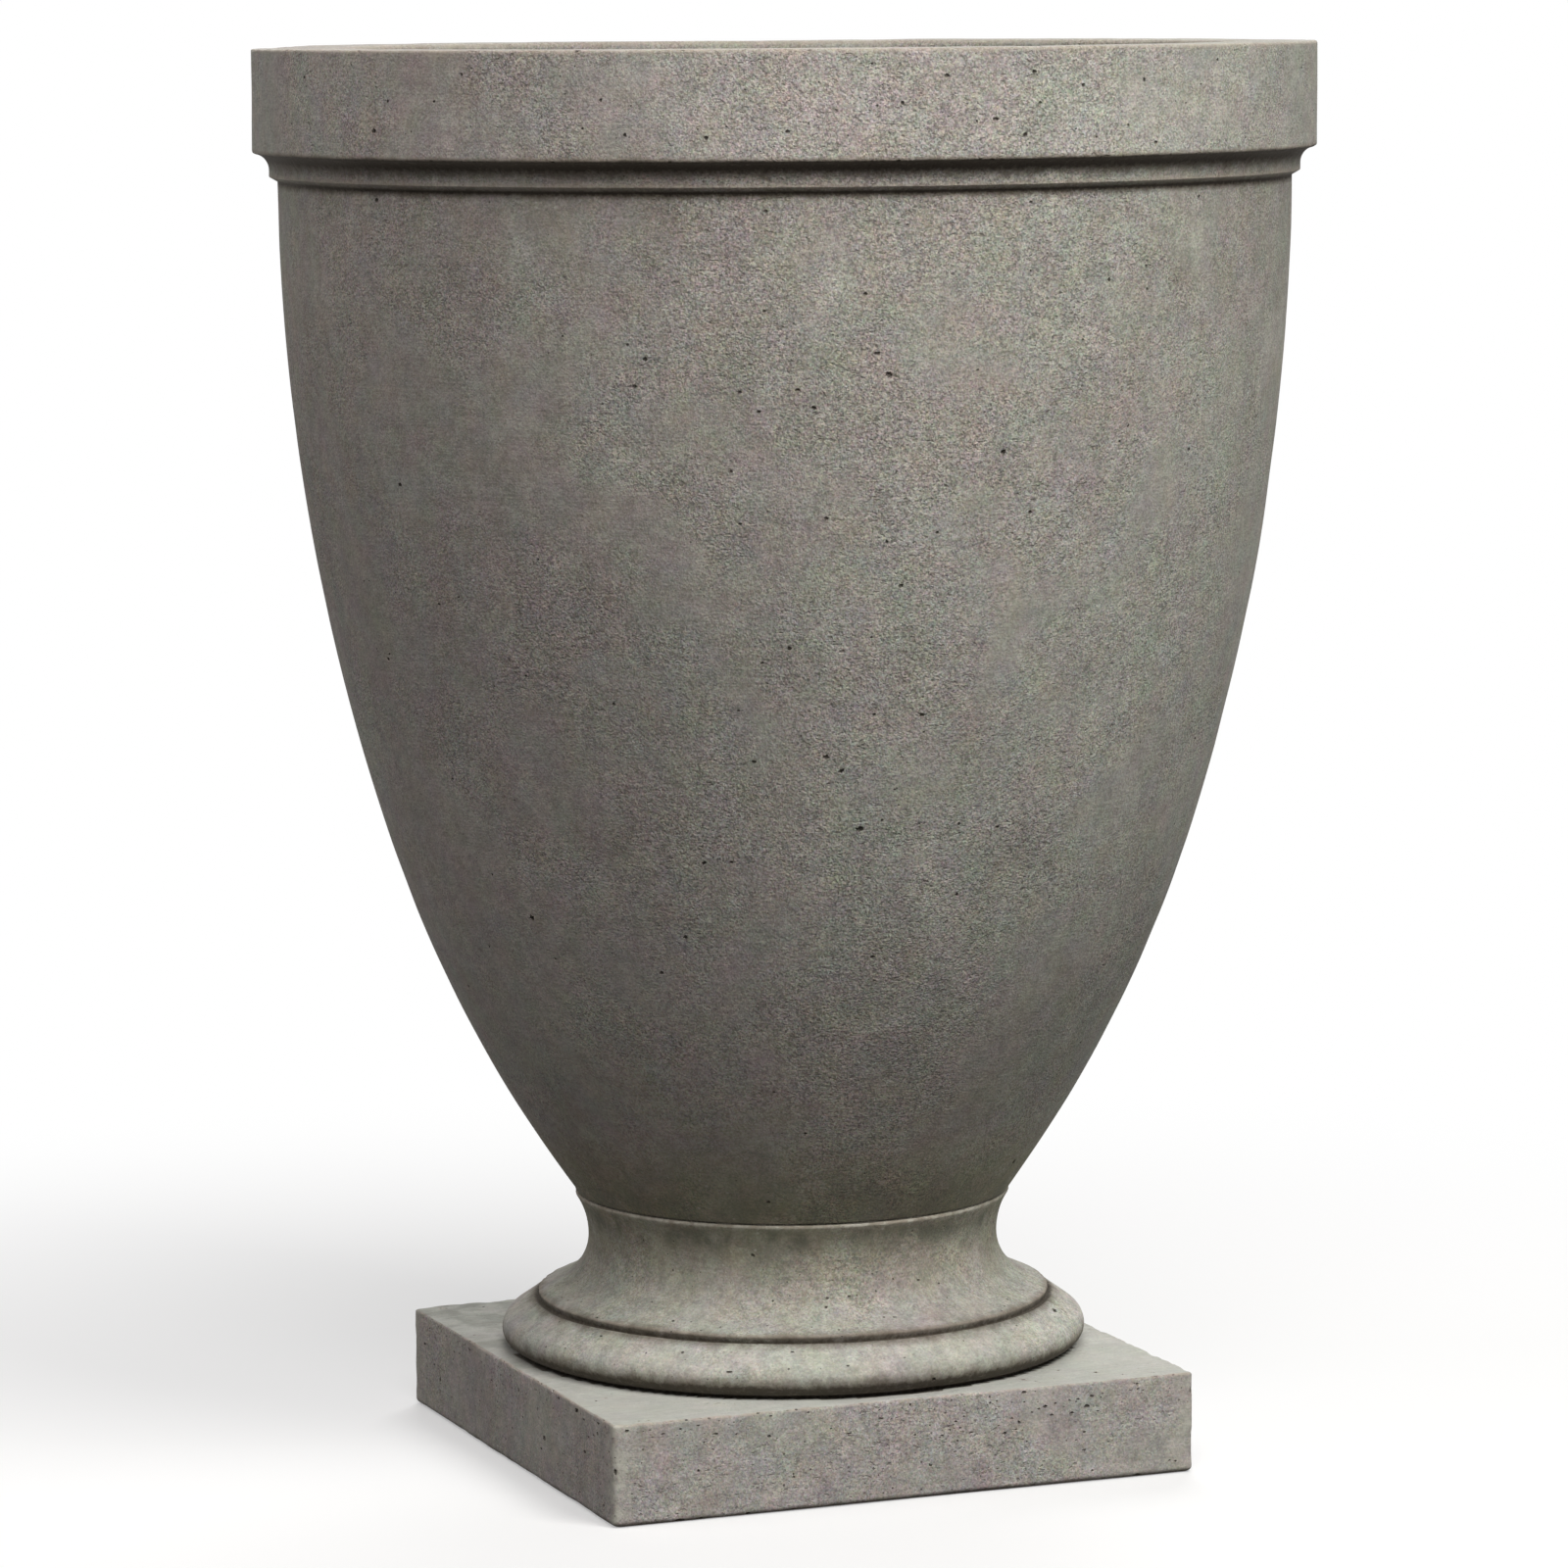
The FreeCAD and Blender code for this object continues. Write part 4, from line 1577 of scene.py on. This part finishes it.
    def build(self) -> bpy.types.Object:
        """Makes and dresses the foot.

        Returns:
            The finished piece.
        """
        block = self.plinth()
        sink(block, self.uneven_plinth(coordinates(block)))
        turning = turned("foot_turning", self.outline(), self.segments)
        sink(turning, self.uneven_turning(coordinates(turning)))
        steps = [(Cut.JOIN, turning), (Cut.TAKE_AWAY, self.core()), *self.drain.dowel_holes()]
        sculptor = Sculptor(combined(block, steps), self.seed)
        self.bites(sculptor)
        mesh = sculptor.carved()
        points, normals = coordinates(mesh), vertex_normals(mesh)
        heights, radii = points[:, 2], radii_of(points)
        on_plinth = heights < self.plinth_height + 0.3 * MM
        ledge = on_plinth & (normals[:, 2] > 0.9) & (heights > self.plinth_height - 1.6 * MM)
        turned_gap = ring_gap(points, self.arrises)
        # dirt and painted shade in the groove and under the torus, and a painted contact shadow along the plinth's
        # bottom; none on the ledge beside the torus
        dirt_and_shade_gap = np.minimum(ring_gap(points, self.crevices) * 0.62, (heights + 0.6 * MM) * 1.3)
        left_unshaded = ledge & (radii > self.torus_radius - 4 * MM)
        # a pale line along the foot's lip: wear and a painted highlight; the plinth's corners get pale wear only
        lip_gap = ring_gap(points, [(self.lip_radius, self.top)])
        lip_wear_and_highlight = np.clip(1.4 - lip_gap / (2.6 * MM), 0, 1) * 0.95
        spread = np.hypot(self.half_side - np.abs(points[:, 0]), self.half_side - np.abs(points[:, 1]))
        at_corner = np.where(on_plinth & ~ledge, np.clip(1.1 - spread / (13 * MM), 0, 1), 0)
        # painted light and shade by height: lightest on the plinth and the torus, darker up the scotia under the bowl
        levels = [
            self.plinth_height, self.plinth_height + 2 * MM, self.groove[1], self.nose()[1] + 3 * MM,
            self.waist_height, self.top,
        ]
        # painted shade with a dark stain in the hollow under the lip, and painted shade growing towards the back of the
        # plinth's top
        under_lip = np.exp(-((self.top - 9 * MM - heights) / (7 * MM)) ** 2) * 0.8
        behind = np.where(ledge, np.interp(points[:, 1], [-self.half_side, -0.06, self.half_side], [0, 0.15, 0.5]), 0)
        keep_numbers(
            mesh,
            arris_gap=np.where(on_plinth, self.plinth_edge_gap(points) * 1.4, turned_gap) / MM,
            crevice_gap=np.where(left_unshaded, 12 * MM, dirt_and_shade_gap) / MM,
            rubbed=np.maximum(lip_wear_and_highlight, at_corner),
            bleach=np.interp(heights, levels, [1.13, 1.16, 1.12, 0.97, 0.84, 0.78]),
            clay=np.select([ledge, on_plinth], [-0.4, 0.7], -0.7),
            dry=np.where(on_plinth, 0.4, -0.2),
            sooty=np.where(on_plinth, behind, under_lip),
            inner=0.0,
            top_skin=np.where(ledge, 1.0, 0.0),
        )
        stone = CastStone(
            "foot_stone", olive=(0.388, 0.383, 0.336), purple=(0.400, 0.367, 0.342), pale=(0.58, 0.565, 0.49),
            worn=(0.42, 0.345, 0.28), line_dirt_and_shade=0.72, grain_contrast=0.76, grain_relief=0.55, blotch_contrast=0.13,
            pinholes=1.3, edge_wear=0.6, shift=21.0,
        )
        return shown("foot_casting", mesh, stone.material(), "foot")


@dataclass
class NeckJoint:
    """The mortar bed and the steel dowels between bowl and foot."""

    drain: DrainParts
    reach: float = 118.2 * MM
    segments: int = 288

    def build(self) -> bpy.types.Object:
        """Makes the bed, pointed out to the bowl's edge, and dresses the dowels.

        Returns:
            The bed.
        """
        low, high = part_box("neck_mortar")
        o = Outline(self.drain.passage_radius, low.z)
        o.run(self.reach, low.z, 12 * MM)
        o.add(self.reach + 0.25 * MM, (low.z + high.z) / 2)
        o.add(self.reach, high.z)
        o.run(self.drain.passage_radius, high.z, 12 * MM)
        blank = turned("bed_blank", o.points, self.segments)
        points = coordinates(blank)
        outer = radii_of(points) > self.reach - 0.5 * MM
        pull = np.where(outer, dips(points, 0.009, 14, 0.9), 0) / self.reach
        points[:, :2] *= (1 - pull)[:, None]
        blank.vertices.foreach_set("co", points.ravel())
        blank.update()
        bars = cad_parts["neck_dowels"]
        bars.data.materials.clear()
        bars.data.materials.append(BarSteel().material())
        LOG.info("neck_dowels dressed")
        mesh = combined(blank, self.drain.dowel_holes())
        return shown("mortar_bed", mesh, Mortar().material(), "neck_mortar")


@dataclass
class DrainSleeve:
    """The plastic tube through the bowl's base."""

    wall: float = 3.5 * MM
    end_ease: float = 0.6 * MM
    segments: int = 96

    def build(self) -> bpy.types.Object:
        """Makes and dresses the sleeve.

        Returns:
            The finished piece.
        """
        low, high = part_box("drain_sleeve")
        outer, bore = high.x, high.x - self.wall
        o = Outline((outer + bore) / 2, low.z)
        corners = [(outer, low.z), (outer, high.z), (bore, high.z), (bore, low.z)]
        for corner, following in zip(corners, corners[1:] + corners[:1]):
            o.corner(corner, following, self.end_ease)
        tube = turned("drain_tube", o.points, self.segments)
        return shown("drain_tube", tube, PipePlastic().material(), "drain_sleeve", 50)


# --------------------------------------------------------------------------------------------- the studio


@dataclass(frozen=True)
class Lamp:
    """A soft square lamp that looks at the urn, placed as seen from the camera."""

    name: str
    side: float
    height: float
    distance: float
    size: float
    power: float
    colour: Colour = (1.0, 1.0, 1.0)


@dataclass
class Studio:
    """The pale floor, the lamps, the world and the camera."""

    camera_distance: float = 3.506
    camera_height: float = 0.7943
    camera_turn: float = 0.3741
    pan: float = -0.0008
    pitch: float = 0.1226
    roll: float = -0.0076
    lens: float = 148.88
    aim_height: float = 0.40
    floor_radius: float = 5.0
    floor_drop: float = 0.2 * MM
    floor_shade: Colour = (0.12, 0.12, 0.12)
    floor_colour: Colour = (0.62, 0.62, 0.62)
    world_level: float = 0.035
    lamps: tuple[Lamp, ...] = (
        Lamp("key", 45.0, 45.0, 3.0, 1.4, 67.0, (1.0, 0.99, 0.965)),
        Lamp("front", 2.0, 42.0, 3.0, 1.4, 37.0, (1.0, 0.985, 0.975)),
        Lamp("left", -78.0, 42.0, 3.0, 1.4, 18.5, (1.0, 0.96, 0.96)),
        Lamp("back", 176.0, 42.0, 3.0, 1.6, 44.0),
    )

    def build_camera(self) -> None:
        """Puts the camera where the photograph was taken from."""
        data = bpy.data.cameras.new("camera")
        data.lens, data.sensor_width = self.lens, 36.0
        data.clip_start, data.clip_end = 0.05, 100.0
        camera = bpy.data.objects.new("camera", data)
        bpy.context.scene.collection.objects.link(camera)
        spot = (
            -self.camera_distance * math.sin(self.camera_turn),
            -self.camera_distance * math.cos(self.camera_turn), self.camera_height,
        )
        camera.matrix_world = (
            Matrix.Translation(spot) @ Matrix.Rotation(-self.camera_turn - self.pan, 4, "Z")
            @ Matrix.Rotation(math.pi / 2 - self.pitch, 4, "X") @ Matrix.Rotation(self.roll, 4, "Z")
        )
        bpy.context.scene.camera = camera

    def build_lamps(self) -> None:
        """Hangs the lamps."""
        for lamp in self.lamps:
            data = bpy.data.lights.new(lamp.name, "AREA")
            data.shape, data.size, data.energy, data.color = "SQUARE", lamp.size, lamp.power, lamp.colour
            thing = bpy.data.objects.new(lamp.name, data)
            bpy.context.scene.collection.objects.link(thing)
            turn, lift = math.radians(lamp.side) - self.camera_turn, math.radians(lamp.height)
            back = Vector((math.sin(turn) * math.cos(lift), -math.cos(turn) * math.cos(lift), math.sin(lift)))
            thing.location = back * lamp.distance + Vector((0, 0, self.aim_height))
            thing.rotation_euler = (-back).to_track_quat("-Z", "Y").to_euler()

    def build_world(self) -> None:
        """Lights the room evenly and shows it white to the camera."""
        world = bpy.data.worlds.new("studio_air")
        bpy.context.scene.world = world
        g = Graph(world)
        level = g.span(g.seen(), 0.0, 1.0, self.world_level, 1.0)
        light = g.out(g.node("ShaderNodeBackground"), {"Color": (1, 1, 1), "Strength": level})
        g.feed(g.node("ShaderNodeOutputWorld").inputs["Surface"], light)

    def build_floor(self) -> None:
        """Lays a round pale floor that keeps the urn's shadow and fades to white."""
        sides = 96
        turn = np.linspace(0, math.tau, sides, endpoint=False)
        drop = np.full(sides, -self.floor_drop / self.floor_radius)
        rim = np.column_stack([np.cos(turn), np.sin(turn), drop]) * self.floor_radius
        mesh = bpy.data.meshes.new("floor")
        mesh.from_pydata(rim.tolist(), [], [tuple(range(sides))])
        floor = bpy.data.objects.new("floor", mesh)
        bpy.context.scene.collection.objects.link(floor)
        g = Graph(bpy.data.materials.new("pale_floor"))
        seen = g.seen()
        length = g.node("ShaderNodeVectorMath", operation="LENGTH")
        far = g.span(g.out(length, {0: g.place}, "Value"), 0.35, 1.15)
        colour = g.blend(seen, self.floor_shade, self.floor_colour)
        matt = g.out(g.node("ShaderNodeBsdfDiffuse"), {"Color": colour})
        black = g.out(g.node("ShaderNodeEmission"), {"Strength": 0.0})
        near = g.out(g.node("ShaderNodeMixShader"), {0: seen * far, 1: matt, 2: black})
        glow = g.out(g.node("ShaderNodeEmission"), {"Strength": seen * (far * 0.65 + 0.35)})
        both = g.out(g.node("ShaderNodeAddShader"), {0: near, 1: glow})
        g.feed(g.node("ShaderNodeOutputMaterial").inputs["Surface"], both)
        mesh.materials.append(g.holder)

    def build(self) -> None:
        """Sets the whole studio up."""
        self.build_camera()
        self.build_lamps()
        self.build_world()
        self.build_floor()
        bpy.context.scene.view_settings.view_transform = "Standard"


def main() -> None:
    """Builds the studio and every piece."""
    logging.basicConfig(level=logging.INFO, format="%(name)s: %(message)s")
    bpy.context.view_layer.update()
    Studio().build()
    drain = DrainParts()
    for part in (Bowl(drain), Foot(drain), NeckJoint(drain), DrainSleeve()):
        piece = part.build()
        piece.data.calc_loop_triangles()
        LOG.info("%s: %d triangles", piece.name, len(piece.data.loop_triangles))


if __name__ == "__main__":
    main()
